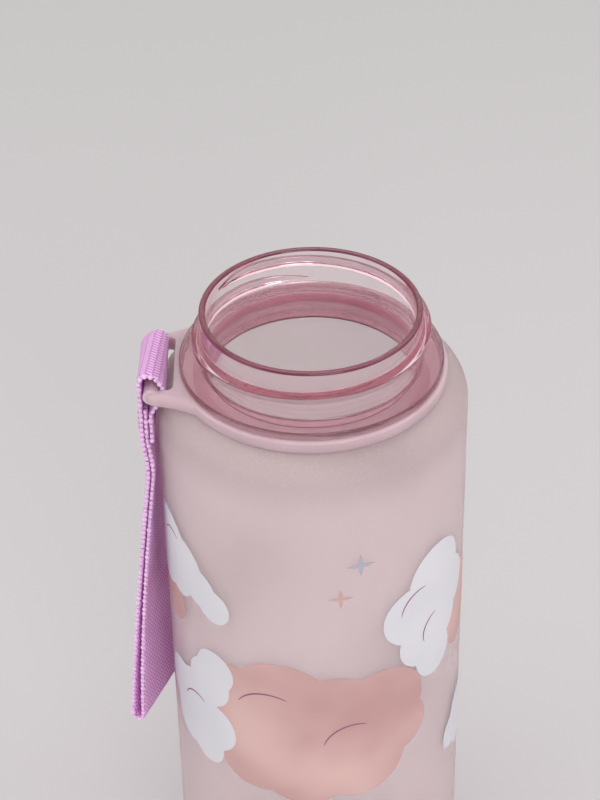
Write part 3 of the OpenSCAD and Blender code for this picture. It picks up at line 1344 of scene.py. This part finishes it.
@dataclass
class Strap:
    """One length of webbing, folded into a loop round the bar and sewn."""

    ring: CarrierRing
    width: float = 20.0
    thick: float = 1.0
    rib: float = 0.16
    rib_pitch: float = 1.35
    drop: float = 105.0
    stack_x: float = 36.85
    stack_low: float = 13.7
    layer: float = 1.15
    twist_start: float = 24.0
    lean: float = 7.9
    fold: float = 3.8
    skew: float = 0.09
    sag: float = 0.06
    hang_gap: float = 1.45
    edge_in: float = 0.08
    sew_from: float = 6.0
    sew_tall: float = 7.6
    wander: float = 0.5
    bead_spread: float = 0.2
    bead_seed: int = 7
    loop_pitch: float = 1.42
    loop_r: float = 0.56

    def lean_at(self, share: float) -> float:
        """How far the near edge has leaned out.

        Args:
            share: How far down the turning length, from 0 to 1.

        Returns:
            The lean.
        """
        return self.lean * (0.6 * share + 0.4 * math.sin(math.pi / 2 * share))

    def hang_point(self, depth: float, side: float) -> tuple[Vector, Vector]:
        """A point on the middle of one hanging layer, and the band's cross direction there.

        Args:
            depth: How far below the bar's axis.
            side: Distance from the pair's middle plane, outwards.

        Returns:
            The point and the unit vector across the band.
        """
        share = max(0.0, (depth - self.twist_start) / (self.drop - self.twist_start))
        lean = self.lean_at(share)
        turn = math.asin(lean / self.width)
        middle = self.stack_x + self.hang_gap + lean / 2
        across = Vector((math.sin(turn), math.cos(turn), 0))
        out = -middle - side * math.cos(turn)
        point = Vector((out, side * math.sin(turn), self.ring.bar_z - depth))
        return point, across

    def route(self) -> tuple[list[Vector], list[Vector]]:
        """The band's middle line from its hidden end to its sewn-in end.

        Returns:
            Points about 0.3 mm apart, and the cross direction at each.
        """
        bar_z = self.ring.bar_z
        inner, middle = (self.stack_x + self.layer * (i + 0.5) for i in range(2))
        inner -= 0.02
        top = [
            (inner, -self.stack_low),
            (inner, -11.0),
            (inner, -8.5),
            (inner - 0.05, -6.6),
            (36.5, -4.75), (35.3, -3.1), (34.35, -1.4), (34.05, 0.4), (34.45, 2.25),
            (35.45, 3.55), (36.8, 4.05), (38.15, 3.6), (39.1, 2.35), (39.5, 0.6), (39.62, -2.4),
            (39.66, -5.2), (39.66, -8), (39.66, -11), (39.66, -13.7), (39.4, -16.5), (38.95, -20),
        ]
        points = [Vector((-x, 0, bar_z + z)) for x, z in top]
        crosses = []
        for _, z in top:
            share = min(1.0, max(0.0, (z - 0.5) / 3.0))
            crosses.append(Vector((self.skew * share, 1, -self.sag * share)).normalized())
        steps = 18
        radius = self.fold / 2 - self.thick / 2
        straight = self.drop - self.fold / 2

        def half_gap(share: float) -> float:
            """Half the distance between the two layers' middles."""
            return self.layer / 2 + (radius - self.layer / 2) * share**2

        shares = [i / steps for i in range(steps + 1)]
        down = [
            (self.twist_start + (straight - self.twist_start) * share, half_gap(share))
            for share in shares
        ]
        turn = [
            (straight + radius * math.sin(angle), radius * math.cos(angle))
            for angle in (math.pi * i / 6 for i in range(1, 6))
        ]
        up = [(depth, -gap) for depth, gap in reversed(down)]
        for depth, side in down + turn + up:
            point, cross = self.hang_point(depth, side)
            points.append(point)
            crosses.append(cross)
        for x, z in ((37.8, -20.0), (38.2, -16.5), (middle, -13.7), (middle, -9.6), (middle, -5.3)):
            points.append(Vector((-x, 0, bar_z + z)))
            crosses.append(Vector((0, 1, 0)))
        return self.resample(points, crosses)

    @staticmethod
    def resample(
        points: list[Vector], crosses: list[Vector], step: float = 0.27
    ) -> tuple[list[Vector], list[Vector]]:
        """Runs a smooth curve through points and cuts it evenly.

        Args:
            points: The points in millimetres.
            crosses: The cross direction at each.
            step: The distance between the new points.

        Returns:
            The new points and cross directions.
        """
        fine: list[Vector] = []
        sides: list[Vector] = []
        count, cuts = len(points), 24
        for i in range(count - 1):
            a, b = points[max(i - 1, 0)], points[i]
            c, d = points[i + 1], points[min(i + 2, count - 1)]
            first = max((b - a).length, 1e-6) ** 0.5
            second = max((c - b).length, 1e-6) ** 0.5
            third = max((d - c).length, 1e-6) ** 0.5
            out = (c - b) if i == 0 else second * (
                (b - a) / first - (c - a) / (first + second) + (c - b) / second
            )
            into = (c - b) if i == count - 2 else second * (
                (c - b) / second - (d - b) / (second + third) + (d - c) / third
            )
            for k in range(cuts):
                t = k / cuts
                fine.append(
                    (2 * t**3 - 3 * t**2 + 1) * b
                    + (t**3 - 2 * t**2 + t) * out
                    + (3 * t**2 - 2 * t**3) * c
                    + (t**3 - t**2) * into
                )
                sides.append(crosses[i].lerp(crosses[i + 1], t).normalized())
        fine.append(points[-1])
        sides.append(crosses[-1])
        lengths = [0.0]
        for first_point, second_point in zip(fine, fine[1:]):
            lengths.append(lengths[-1] + (second_point - first_point).length)
        total = lengths[-1]
        amount = round(total / step)
        result, turned, place = [], [], 0
        for i in range(amount + 1):
            at = total * i / amount
            while place < len(fine) - 2 and lengths[place + 1] < at:
                place += 1
            span = max(lengths[place + 1] - lengths[place], 1e-9)
            share = min(1.0, (at - lengths[place]) / span)
            result.append(fine[place].lerp(fine[place + 1], share))
            turned.append(sides[place].lerp(sides[place + 1], share).normalized())
        return result, turned

    def band(self) -> tuple[bpy.types.Object, float, list[Vector], list[Vector]]:
        """The plain band, closed all round, with its along and across attributes.

        Returns:
            The object, the band's length in millimetres, its middle line and cross directions.
        """
        line_points, crosses = self.route()
        count, cells = len(line_points), 22
        half = self.width / 2
        step = sum((b - a).length for a, b in zip(line_points, line_points[1:])) / (count - 1)
        points, along, across, faces = [], [], [], []
        around = 2 * cells + 2
        for i, (point, cross) in enumerate(zip(line_points, crosses)):
            before, after = line_points[max(i - 1, 0)], line_points[min(i + 1, count - 1)]
            tangent = (after - before).normalized()
            normal = cross.cross(tangent).normalized()
            for face in (1, -1):
                for k in range(cells + 1):
                    run = self.width * k / cells
                    v = -half + run if face == 1 else half - run
                    soft = 0.22 if k in (0, cells) else 0.0
                    lift = (self.thick / 2 - soft) * face
                    points.append((point + cross * v + normal * lift) * MM)
                    along.append(i * step * MM)
                    across.append(v * MM)
        for i in range(count - 1):
            for k in range(around):
                m = (k + 1) % around
                a, b = i * around, (i + 1) * around
                faces.append((a + k, b + k, b + m, a + m))
        for row, flip in ((0, False), (count - 1, True)):
            base = row * around
            for k in range(cells):
                quad = [
                    base + k,
                    base + k + 1,
                    base + around - 2 - k,
                    base + around - 1 - k,
                ]
                faces.append(tuple(quad[::-1] if flip else quad))
        piece = make_mesh("strap_webbing", points, faces)
        for name, values in (("along", along), ("across", across)):
            keep_numbers(piece, name, values)
        uv = piece.data.uv_layers.new(name="UVMap")
        for loop in piece.data.loops:
            uv.data[loop.index].uv = (across[loop.vertex_index], along[loop.vertex_index])
        return piece, step * (count - 1), line_points, crosses

    @staticmethod
    def rib_tree() -> bpy.types.NodeTree:
        """Geometry nodes that raise the webbing's cross ribs and pinch its edges.

        Returns:
            The tree, whose sizes are named inputs in metres.
        """
        graph, start, end = node_group(
            "webbing_ribs",
            "GeometryNodeTree",
            [
                ("Geometry", GEOMETRY, None),
                ("Rib Pitch", FLOAT, 0.00135),
                ("Rib Height", FLOAT, 0.00016),
                ("Wander", FLOAT, 0.00012),
                ("Finish", MATERIAL, None),
            ],
            [("Geometry", GEOMETRY)],
        )
        given = start.outputs
        along, across = graph.named("along"), graph.named("across")
        place = graph.add("ShaderNodeCombineXYZ")
        graph.join(along, place.inputs[0])
        graph.join(across, place.inputs[1])
        noise = graph.noise(place.outputs[0], 160.0, 1.0)
        shift = graph.math("MULTIPLY", graph.math("SUBTRACT", noise, 0.5), given["Wander"])
        phase = graph.math("DIVIDE", graph.math("ADD", along, shift), given["Rib Pitch"])
        wave = graph.math("ABSOLUTE", graph.math("SINE", graph.math("MULTIPLY", phase, math.pi)))
        height = graph.math("MULTIPLY", graph.math("SUBTRACT", wave, 0.6), given["Rib Height"])
        move = graph.add("GeometryNodeSetPosition")
        graph.join(given["Geometry"], move.inputs["Geometry"])
        normal = graph.add("GeometryNodeInputNormal").outputs[0]
        graph.join(graph.scaled(normal, height), move.inputs["Offset"])
        end_tree(graph, move.outputs[0], start, end)
        return graph.tree

    @staticmethod
    def bead_tree() -> bpy.types.NodeTree:
        """Geometry nodes that lay a small turn of yarn at every step along each edge line.

        Returns:
            The tree, whose sizes are named inputs in metres.
        """
        graph, start, end = node_group(
            "edge_turns",
            "GeometryNodeTree",
            [
                ("Geometry", GEOMETRY, None),
                ("Pitch", FLOAT, 0.0014),
                ("Size", VECTOR, (0.0005, 0.0004, 0.0006)),
                ("Spread", FLOAT, 0.12),
                ("Seed", WHOLE, 7),
                ("Finish", MATERIAL, None),
            ],
            [("Geometry", GEOMETRY)],
        )
        given = start.outputs
        curve = graph.add("GeometryNodeMeshToCurve")
        graph.join(given["Geometry"], curve.inputs[0])
        points = graph.add("GeometryNodeCurveToPoints", mode="LENGTH")
        graph.join(curve.outputs[0], points.inputs["Curve"])
        graph.join(given["Pitch"], points.inputs["Length"])
        ball = graph.add("GeometryNodeMeshUVSphere")
        preset(ball, {"Segments": 8, "Rings": 5, "Radius": 1.0})
        put = graph.add("GeometryNodeInstanceOnPoints")
        graph.join(points.outputs["Points"], put.inputs["Points"])
        graph.join(ball.outputs[0], put.inputs["Instance"])
        graph.join(points.outputs["Rotation"], put.inputs["Rotation"])
        vary = graph.add("FunctionNodeRandomValue", data_type="FLOAT")
        chosen = [s for s in vary.inputs if s.enabled]
        graph.feed(chosen[0], graph.math("SUBTRACT", 1.0, given["Spread"]))
        graph.feed(chosen[1], graph.math("ADD", 1.0, given["Spread"]))
        graph.join(given["Seed"], vary.inputs["Seed"])
        amount = next(s for s in vary.outputs if s.enabled)
        graph.join(graph.scaled(given["Size"], amount), put.inputs["Scale"])
        end_tree(graph, put.outputs[0], start, end, smooth=True)
        return graph.tree

    def edges(self, line_points: list[Vector], crosses: list[Vector]) -> bpy.types.Object:
        """The turned yarn along both edges.

        Args:
            line_points: The band's middle line.
            crosses: The cross direction at each point.

        Returns:
            The piece.
        """
        half = self.width / 2 - self.edge_in
        points, pairs = [], []
        for side in (-1, 1):
            base = len(points)
            points += [(p + c * half * side) * MM for p, c in zip(line_points, crosses)]
            pairs += [(base + i, base + i + 1) for i in range(len(line_points) - 1)]
        return run_nodes(
            seed_mesh("strap_edge_yarn", points, pairs),
            self.bead_tree(),
            {
                "Pitch": self.loop_pitch * MM,
                "Size": (self.loop_r * MM, self.loop_r * MM * 0.85, self.loop_r * MM * 1.1),
                "Spread": self.bead_spread,
                "Seed": self.bead_seed,
                "Finish": YarnFinish("edge_yarn").build(),
            },
        )

    def stitches(self) -> bpy.types.Object:
        """Rows of sewing stitches on both faces of the overlap.

        Returns:
            The piece.
        """
        rows, row_step, count, reach = 4, 1.5, 8, 16.0
        middle = self.ring.bar_z - self.sew_from - self.sew_tall / 2
        faces_x = (self.stack_x + 0.05, self.stack_x + 3 * self.layer)
        points: list[Vector] = []
        for x in faces_x:
            for row in range(rows):
                for i in range(count):
                    y = reach * ((i + 0.5) / count - 0.5)
                    z = middle + row_step * (rows - 1) / 2 - row * row_step
                    points.append(Vector((-x, y, z)) * MM)
        piece = seed_mesh("strap_stitches", points)
        graph, start, end = node_group(
            "sewn_stitches",
            "GeometryNodeTree",
            [
                ("Geometry", GEOMETRY, None),
                ("Size", VECTOR, (0.00025, 0.0009, 0.00025)),
                ("Slant", FLOAT, 0.08),
                ("Finish", MATERIAL, None),
            ],
            [("Geometry", GEOMETRY)],
        )
        given = start.outputs
        ball = graph.add("GeometryNodeMeshUVSphere")
        preset(ball, {"Segments": 10, "Rings": 8, "Radius": 1.0})
        turn = graph.add("ShaderNodeCombineXYZ")
        graph.join(given["Slant"], turn.inputs[0])
        put = graph.add("GeometryNodeInstanceOnPoints")
        graph.join(given["Geometry"], put.inputs["Points"])
        graph.join(ball.outputs[0], put.inputs["Instance"])
        graph.join(turn.outputs[0], put.inputs["Rotation"])
        graph.join(given["Size"], put.inputs["Scale"])
        end_tree(graph, put.outputs[0], start, end, smooth=True)
        return run_nodes(
            piece,
            graph.tree,
            {
                "Size": (0.26 * MM, 0.98 * MM, 0.26 * MM),
                "Slant": 0.1,
                "Finish": YarnFinish(
                    "sewing_yarn", linear(196, 132, 194), linear(160, 92, 156)
                ).build(),
            },
        )

    def build(self) -> list[bpy.types.Object]:
        """Builds and dresses the webbing, its edges and its stitches.

        Returns:
            The three pieces.
        """
        band, length, line_points, crosses = self.band()
        LOG.info("webbing length %.1f mm", length)
        run_nodes(
            band,
            self.rib_tree(),
            {
                "Rib Pitch": self.rib_pitch * MM,
                "Rib Height": self.rib * MM,
                "Wander": self.wander * MM,
                "Finish": Webbing("webbing").build(),
            },
        )
        edge = self.edges(line_points, crosses)
        sewn = self.stitches()
        for piece, slot in ((band, Slot.WEBBING), (edge, Slot.WEBBING), (sewn, Slot.THREAD)):
            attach(piece, Body.STRAP.value)
        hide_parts("strap")
        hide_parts("strap_stitching")
        return [band, edge, sewn]


@dataclass(frozen=True)
class Shape:
    """One printed shape: where it lies on the wall and its outline."""

    name: str
    ink: Ink
    centre: Point2
    lobes: tuple[Point3, ...] = ()
    star: float = 0.0
    lift: float = 0.06

    def reach(self, angle: float) -> float:
        """How far the outline is from the centre in a direction.

        Args:
            angle: The direction in radians.

        Returns:
            The distance in millimetres.
        """
        if self.star:
            pull = abs(math.sin(2 * angle)) ** 0.62
            return self.star * (1 - 0.8 * pull)
        ux, uy = math.cos(angle), math.sin(angle)
        best = 0.0
        for x, y, radius in self.lobes:
            dot = x * ux + y * uy
            left = radius * radius - (x * x + y * y - dot * dot)
            if left > 0:
                best = max(best, dot + math.sqrt(left))
        return best


@dataclass
class Decoration:
    """The generic print on the wall: clouds, a peach hill of cloud and four-pointed sparkles."""

    bottle: Bottle
    thick: float = 0.03
    line_lift: float = 0.095
    line_width: float = 0.42
    ring_step: float = 1.6
    crease: float = 40.0
    shapes: tuple[Shape, ...] = (
        Shape(
            "print_cloud_left",
            Ink.CLOUD,
            (-37.0, 128.0),
            (
                (-8.5, 4.5, 9.3), (-1, 2, 7.6), (-11, -2.5, 7.5), (5.5, -1.5, 5.6), (-3, -3, 5.8),
                (10.2, -4.6, 5),
            ),
        ),
        Shape(
            "print_cloud_low_left",
            Ink.CLOUD,
            (-34.0, 88.0),
            (
                (-8, 0, 7.5), (-1, 1, 8), (4, 9, 7), (6.5, 14.5, 6), (5, -5, 7.5), (-4, -9, 7.5),
                (3, -13, 5.5),
            ),
        ),
        Shape(
            "print_cloud_right",
            Ink.CLOUD,
            (27.0, 118.0),
            (
                (-2.5, 3, 8.4), (6, 10.5, 9.6), (12, 2.5, 7.8), (1.5, -7, 7.8), (7.5, -4.5, 7.5),
                (5.5, -14.5, 6.4),
            ),
        ),
        Shape(
            "print_cloud_edge",
            Ink.CLOUD,
            (46.5, 69.5),
            ((-3.0, -1.5, 5.2), (2.5, 3.0, 6.4), (8.5, -1.0, 5.6), (2.5, -4.0, 5.6)),
        ),
        Shape(
            "print_peach_hill",
            Ink.PEACH,
            (-1.5, 88.0),
            (
                (-18.5, 7.5, 12), (-8, 10.5, 13.4), (5, 6.5, 13.6), (17, 7, 12.4),
                (-14, -7.5, 12), (-2, -9, 13), (11.5, -8, 12.5), (22, -1.5, 8.6),
            ),
            lift=0.02,
        ),
        Shape(
            "print_peach_right",
            Ink.PEACH,
            (42.0, 111.0),
            ((-4.0, -2.0, 7.5), (2.5, 4.0, 8.4), (9.0, -0.5, 6.8), (3.0, -6.0, 6.6)),
            lift=0.02,
        ),
        Shape(
            "print_peach_left",
            Ink.PEACH,
            (-49.0, 116.0),
            ((-5.5, 0.5, 6.0), (0.5, 1.5, 6.5), (5.5, -1.5, 5.4)),
            lift=0.02,
        ),
        Shape(
            "print_cloud_back",
            Ink.CLOUD,
            (96.0, 122.0),
            ((-12, -2, 7), (-4, 4, 9), (6, 3, 8), (13, -2.5, 6), (2, -3, 8)),
        ),
        Shape(
            "print_peach_back",
            Ink.PEACH,
            (-88.0, 84.0),
            ((-12.0, -2.0, 9.0), (-2.0, 4.0, 11.0), (10.0, 1.0, 9.5), (2.0, -5.0, 10.0)),
            lift=0.02,
        ),
        Shape(
            "print_cloud_low",
            Ink.CLOUD,
            (10.0, 44.0),
            ((-13, -1.5, 7), (-5, 4, 9), (5.5, 2.5, 8.5), (13.5, -2, 6.5), (1, -3.5, 8)),
        ),
        Shape(
            "print_peach_low_back",
            Ink.PEACH,
            (84.0, 50.0),
            ((-14, 0, 8), (-5, 5, 10), (6, 3, 9.5), (14, -1, 7), (0, -4, 9)),
            lift=0.02,
        ),
        Shape("print_spark_blue", Ink.SPARK_BLUE, (10.4, 142.4), star=3.5),
        Shape("print_spark_peach", Ink.PEACH, (5.6, 133.2), star=3.0),
        Shape("print_spark_right", Ink.CLOUD, (40.5, 94.5), star=2.4),
        Shape("print_spark_back", Ink.SPARK_BLUE, (70.0, 136.0), star=3.5),
        Shape("print_spark_far", Ink.PEACH, (-78.0, 132.0), star=3.0),
        Shape("print_spark_low", Ink.SPARK_BLUE, (-26.0, 54.0), star=3.4),
    )
    strokes: tuple[Stroke, ...] = (
        (-12, 92, 9.5, 150, 62), (9, 84, 8, 165, 70), (27.5, 121.5, 6.4, 175, 80),
        (33.5, 112, 5.4, 200, 100), (-34.5, 84, 5.8, 160, 60), (-43, 131, 5.6, 150, 60),
        (95, 120, 6, 160, 60), (8, 42, 6, 160, 60),
    )

    def stroke(self, number: int, given: Stroke, finish: bpy.types.Material) -> bpy.types.Object:
        """Makes one thin curved accent line that tapers at both ends.

        Args:
            number: Its number, for its name.
            given: Centre along the wall, centre height, radius, and its two end angles in degrees.
            finish: Its ink.

        Returns:
            The line, closed all round.
        """
        x, z, radius, first, last = given
        steps = 36
        base = self.bottle.body_r + self.line_lift
        points: list[Point3] = []
        for i in range(steps + 1):
            share = i / steps
            angle = math.radians(first + (last - first) * share)
            half = self.line_width / 2 * (0.15 + 0.85 * math.sin(math.pi * share) ** 0.6)
            for level, side in ((0, -1), (0, 1), (1, 1), (1, -1)):
                reach = radius + half * side
                around = (x + reach * math.cos(angle)) / self.bottle.body_r - math.pi / 2
                wall = base + level * self.thick
                points.append(polar(wall, around, z + reach * math.sin(angle)))
        faces: list[tuple[int, ...]] = []
        for i in range(steps):
            for k in range(4):
                m = (k + 1) % 4
                faces.append((4 * i + k, 4 * i + 4 + k, 4 * i + 4 + m, 4 * i + m))
        faces.append((0, 1, 2, 3))
        faces.append(tuple(4 * steps + k for k in (3, 2, 1, 0)))
        return self.lay(make_mesh(f"print_line_{number}", points, faces), finish)

    def lay(self, piece: bpy.types.Object, finish: bpy.types.Material) -> bpy.types.Object:
        """Dresses a printed piece and lets it ride on the bottle.

        Args:
            piece: The patch or the line.
            finish: Its ink.

        Returns:
            The same piece.
        """
        piece.data.set_sharp_from_angle(angle=math.radians(self.crease))
        piece.data.materials.append(finish)
        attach(piece, Body.BOTTLE.value)
        return piece

    def stamp(self, shape: Shape, finish: bpy.types.Material) -> bpy.types.Object:
        """Makes one thin printed patch that lies on the wall.

        Args:
            shape: The patch.
            finish: Its ink.

        Returns:
            The patch, closed all round.
        """
        widest = max(shape.reach(TURN * i / 90) for i in range(90))
        steps, rings = (96, 5) if shape.star else (144, math.ceil(widest / self.ring_step))
        base = self.bottle.body_r + shape.lift
        points: list[Point3] = []
        for radius in (base, base + self.thick):
            for ring in range(rings + 1):
                for i in range(1 if ring == 0 else steps):
                    angle = TURN * i / steps
                    reach = shape.reach(angle) * ring / rings
                    arc_x = shape.centre[0] + reach * math.cos(angle)
                    z = shape.centre[1] + reach * math.sin(angle)
                    around = arc_x / self.bottle.body_r - math.pi / 2
                    points.append(polar(radius, around, z))
        layer = 1 + rings * steps

        def at(level: int, ring: int, i: int) -> int:
            """The number of a point."""
            return level * layer + (0 if ring == 0 else 1 + (ring - 1) * steps + i % steps)

        def pair(level: int, ring: int, i: int) -> tuple[int, int]:
            """Two neighbouring points of a ring."""
            return at(level, ring, i), at(level, ring, i + 1)

        faces: list[tuple[int, ...]] = []
        for level in (0, 1):
            for i in range(steps):
                fans = [(at(level, 0, 0), at(level, 1, i), at(level, 1, i + 1))]
                for r in range(1, rings):
                    first, second = pair(level, r, i)
                    fans.append((first, *pair(level, r + 1, i), second))
                faces += fans if level else [f[::-1] for f in fans]
        for i in range(steps):
            faces.append((*pair(0, rings, i), *pair(1, rings, i)[::-1]))
        return self.lay(make_mesh(shape.name, points, faces), finish)

    def build(self) -> list[bpy.types.Object]:
        """Builds and dresses every patch.

        Returns:
            The patches.
        """
        inks = {
            Ink.CLOUD: PrintInk("ink_cloud", linear(215, 214, 220), linear(206, 205, 212)).build(),
            Ink.PEACH: PrintInk("ink_peach", linear(212, 177, 172), linear(186, 146, 144)).build(),
            Ink.SPARK_BLUE: PrintInk(
                "ink_spark_blue", linear(176, 175, 186), linear(168, 167, 180)
            ).build(),
            Ink.MAUVE: PrintInk("ink_mauve", linear(142, 82, 120), linear(150, 90, 126)).build(),
        }
        patches = [self.stamp(shape, inks[shape.ink]) for shape in self.shapes]
        lines = [self.stroke(i, given, inks[Ink.MAUVE]) for i, given in enumerate(self.strokes)]
        return patches + lines


@dataclass
class Studio:
    """The floor, the lights and the camera."""

    camera_at: Point3 = (-0.00287, -0.42189, 0.48076)
    forward: Point3 = (0.0, 0.79938, -0.60083)
    right: Point3 = (0.99979, -0.01232, -0.01639)
    lens: float = 101.1
    bounces: int = 24
    low_light: float = 0.58
    high_light: float = 1.08
    sky_colour: Colour = (1.0, 0.985, 0.98)
    lamp_colour: Colour = (1.0, 0.985, 0.975)
    floor_reach: float = 8.0
    aim_z: float = 0.15
    lamps: tuple[tuple[str, Point3, float, float], ...] = (
        ("lamp_left", (-0.95, -0.35, 0.55), 0.6, 1.0),
        ("lamp_right", (0.95, -0.25, 0.6), 0.6, 1.0),
        ("lamp_front", (0.5, -2.1, 0.9), 1.2, 15.0),
        ("lamp_top", (-0.15, 0.35, 1.25), 1.1, 0.35),
    )

    def camera(self) -> None:
        """Places the camera."""
        data = bpy.data.cameras.new("camera")
        data.lens = self.lens
        data.sensor_width = 36.0
        data.clip_start = 0.01
        ahead, side = Vector(self.forward).normalized(), Vector(self.right)
        side = (side - ahead * side.dot(ahead)).normalized()
        up = side.cross(ahead)
        turn = Matrix((side, up, -ahead)).transposed().to_4x4()
        camera = place_object("camera", data)
        camera.matrix_world = Matrix.Translation(self.camera_at) @ turn
        bpy.context.scene.camera = camera

    def lamp(self, name: str, place: Sequence[float], size: float, power: float) -> None:
        """Adds a soft square lamp that points at the neck.

        Args:
            name: The lamp's name.
            place: Where it stands, in metres.
            size: Its side, in metres.
            power: Its power in watts.
        """
        data = bpy.data.lights.new(name, "AREA")
        data.shape = "SQUARE"
        data.size = size
        data.energy = power
        data.color = self.lamp_colour
        lamp = place_object(name, data)
        lamp.location = place
        aim = Vector((0, 0, self.aim_z)) - Vector(place)
        lamp.rotation_euler = aim.to_track_quat("-Z", "Y").to_euler()

    def build(self) -> None:
        """Sets the stage."""
        scene = bpy.context.scene
        scene.view_settings.view_transform = "Standard"
        scene.cycles.max_bounces = self.bounces
        scene.cycles.transmission_bounces = self.bounces
        scene.cycles.glossy_bounces = self.bounces // 2
        scene.cycles.diffuse_bounces = self.bounces // 2
        world = bpy.data.worlds.new("world")
        scene.world = world
        world.use_nodes = True
        graph = Graph(world.node_tree)
        sky = next(n for n in world.node_tree.nodes if n.type == "BACKGROUND")
        up = graph.split(graph.add("ShaderNodeTexCoord").outputs["Generated"])[2]
        level = graph.ramp(up, 0.02, 0.55, self.low_light, self.high_light)
        graph.join(level, sky.inputs["Strength"])
        sky.inputs["Color"].default_value = opaque(self.sky_colour)
        for name, place, size, power in self.lamps:
            self.lamp(name, place, size, power)
        self.camera()
        reach = self.floor_reach
        floor = make_mesh(
            "floor",
            [(-reach, -reach, 0), (reach, -reach, 0), (reach, reach, 0), (-reach, reach, 0)],
            [(0, 1, 2, 3)],
        )
        floor.data.materials.append(Backdrop("backdrop").build())


def main() -> None:
    """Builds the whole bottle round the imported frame."""
    logging.basicConfig(level=logging.INFO, format="%(name)s: %(message)s")
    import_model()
    Studio().build()
    bottle = Bottle()
    ring = CarrierRing(bottle)
    parts: tuple[tuple[str, Callable[[], list[bpy.types.Object]]], ...] = (
        ("bottle", bottle.build),
        ("carrier ring", ring.build),
        ("strap", Strap(ring).build),
        ("decoration", Decoration(bottle).build),
    )
    for label, build in parts:
        for piece in build():
            piece.data.calc_loop_triangles()
            LOG.info("%s: %s, %d triangles", label, piece.name, len(piece.data.loop_triangles))


if __name__ == "__main__":
    main()
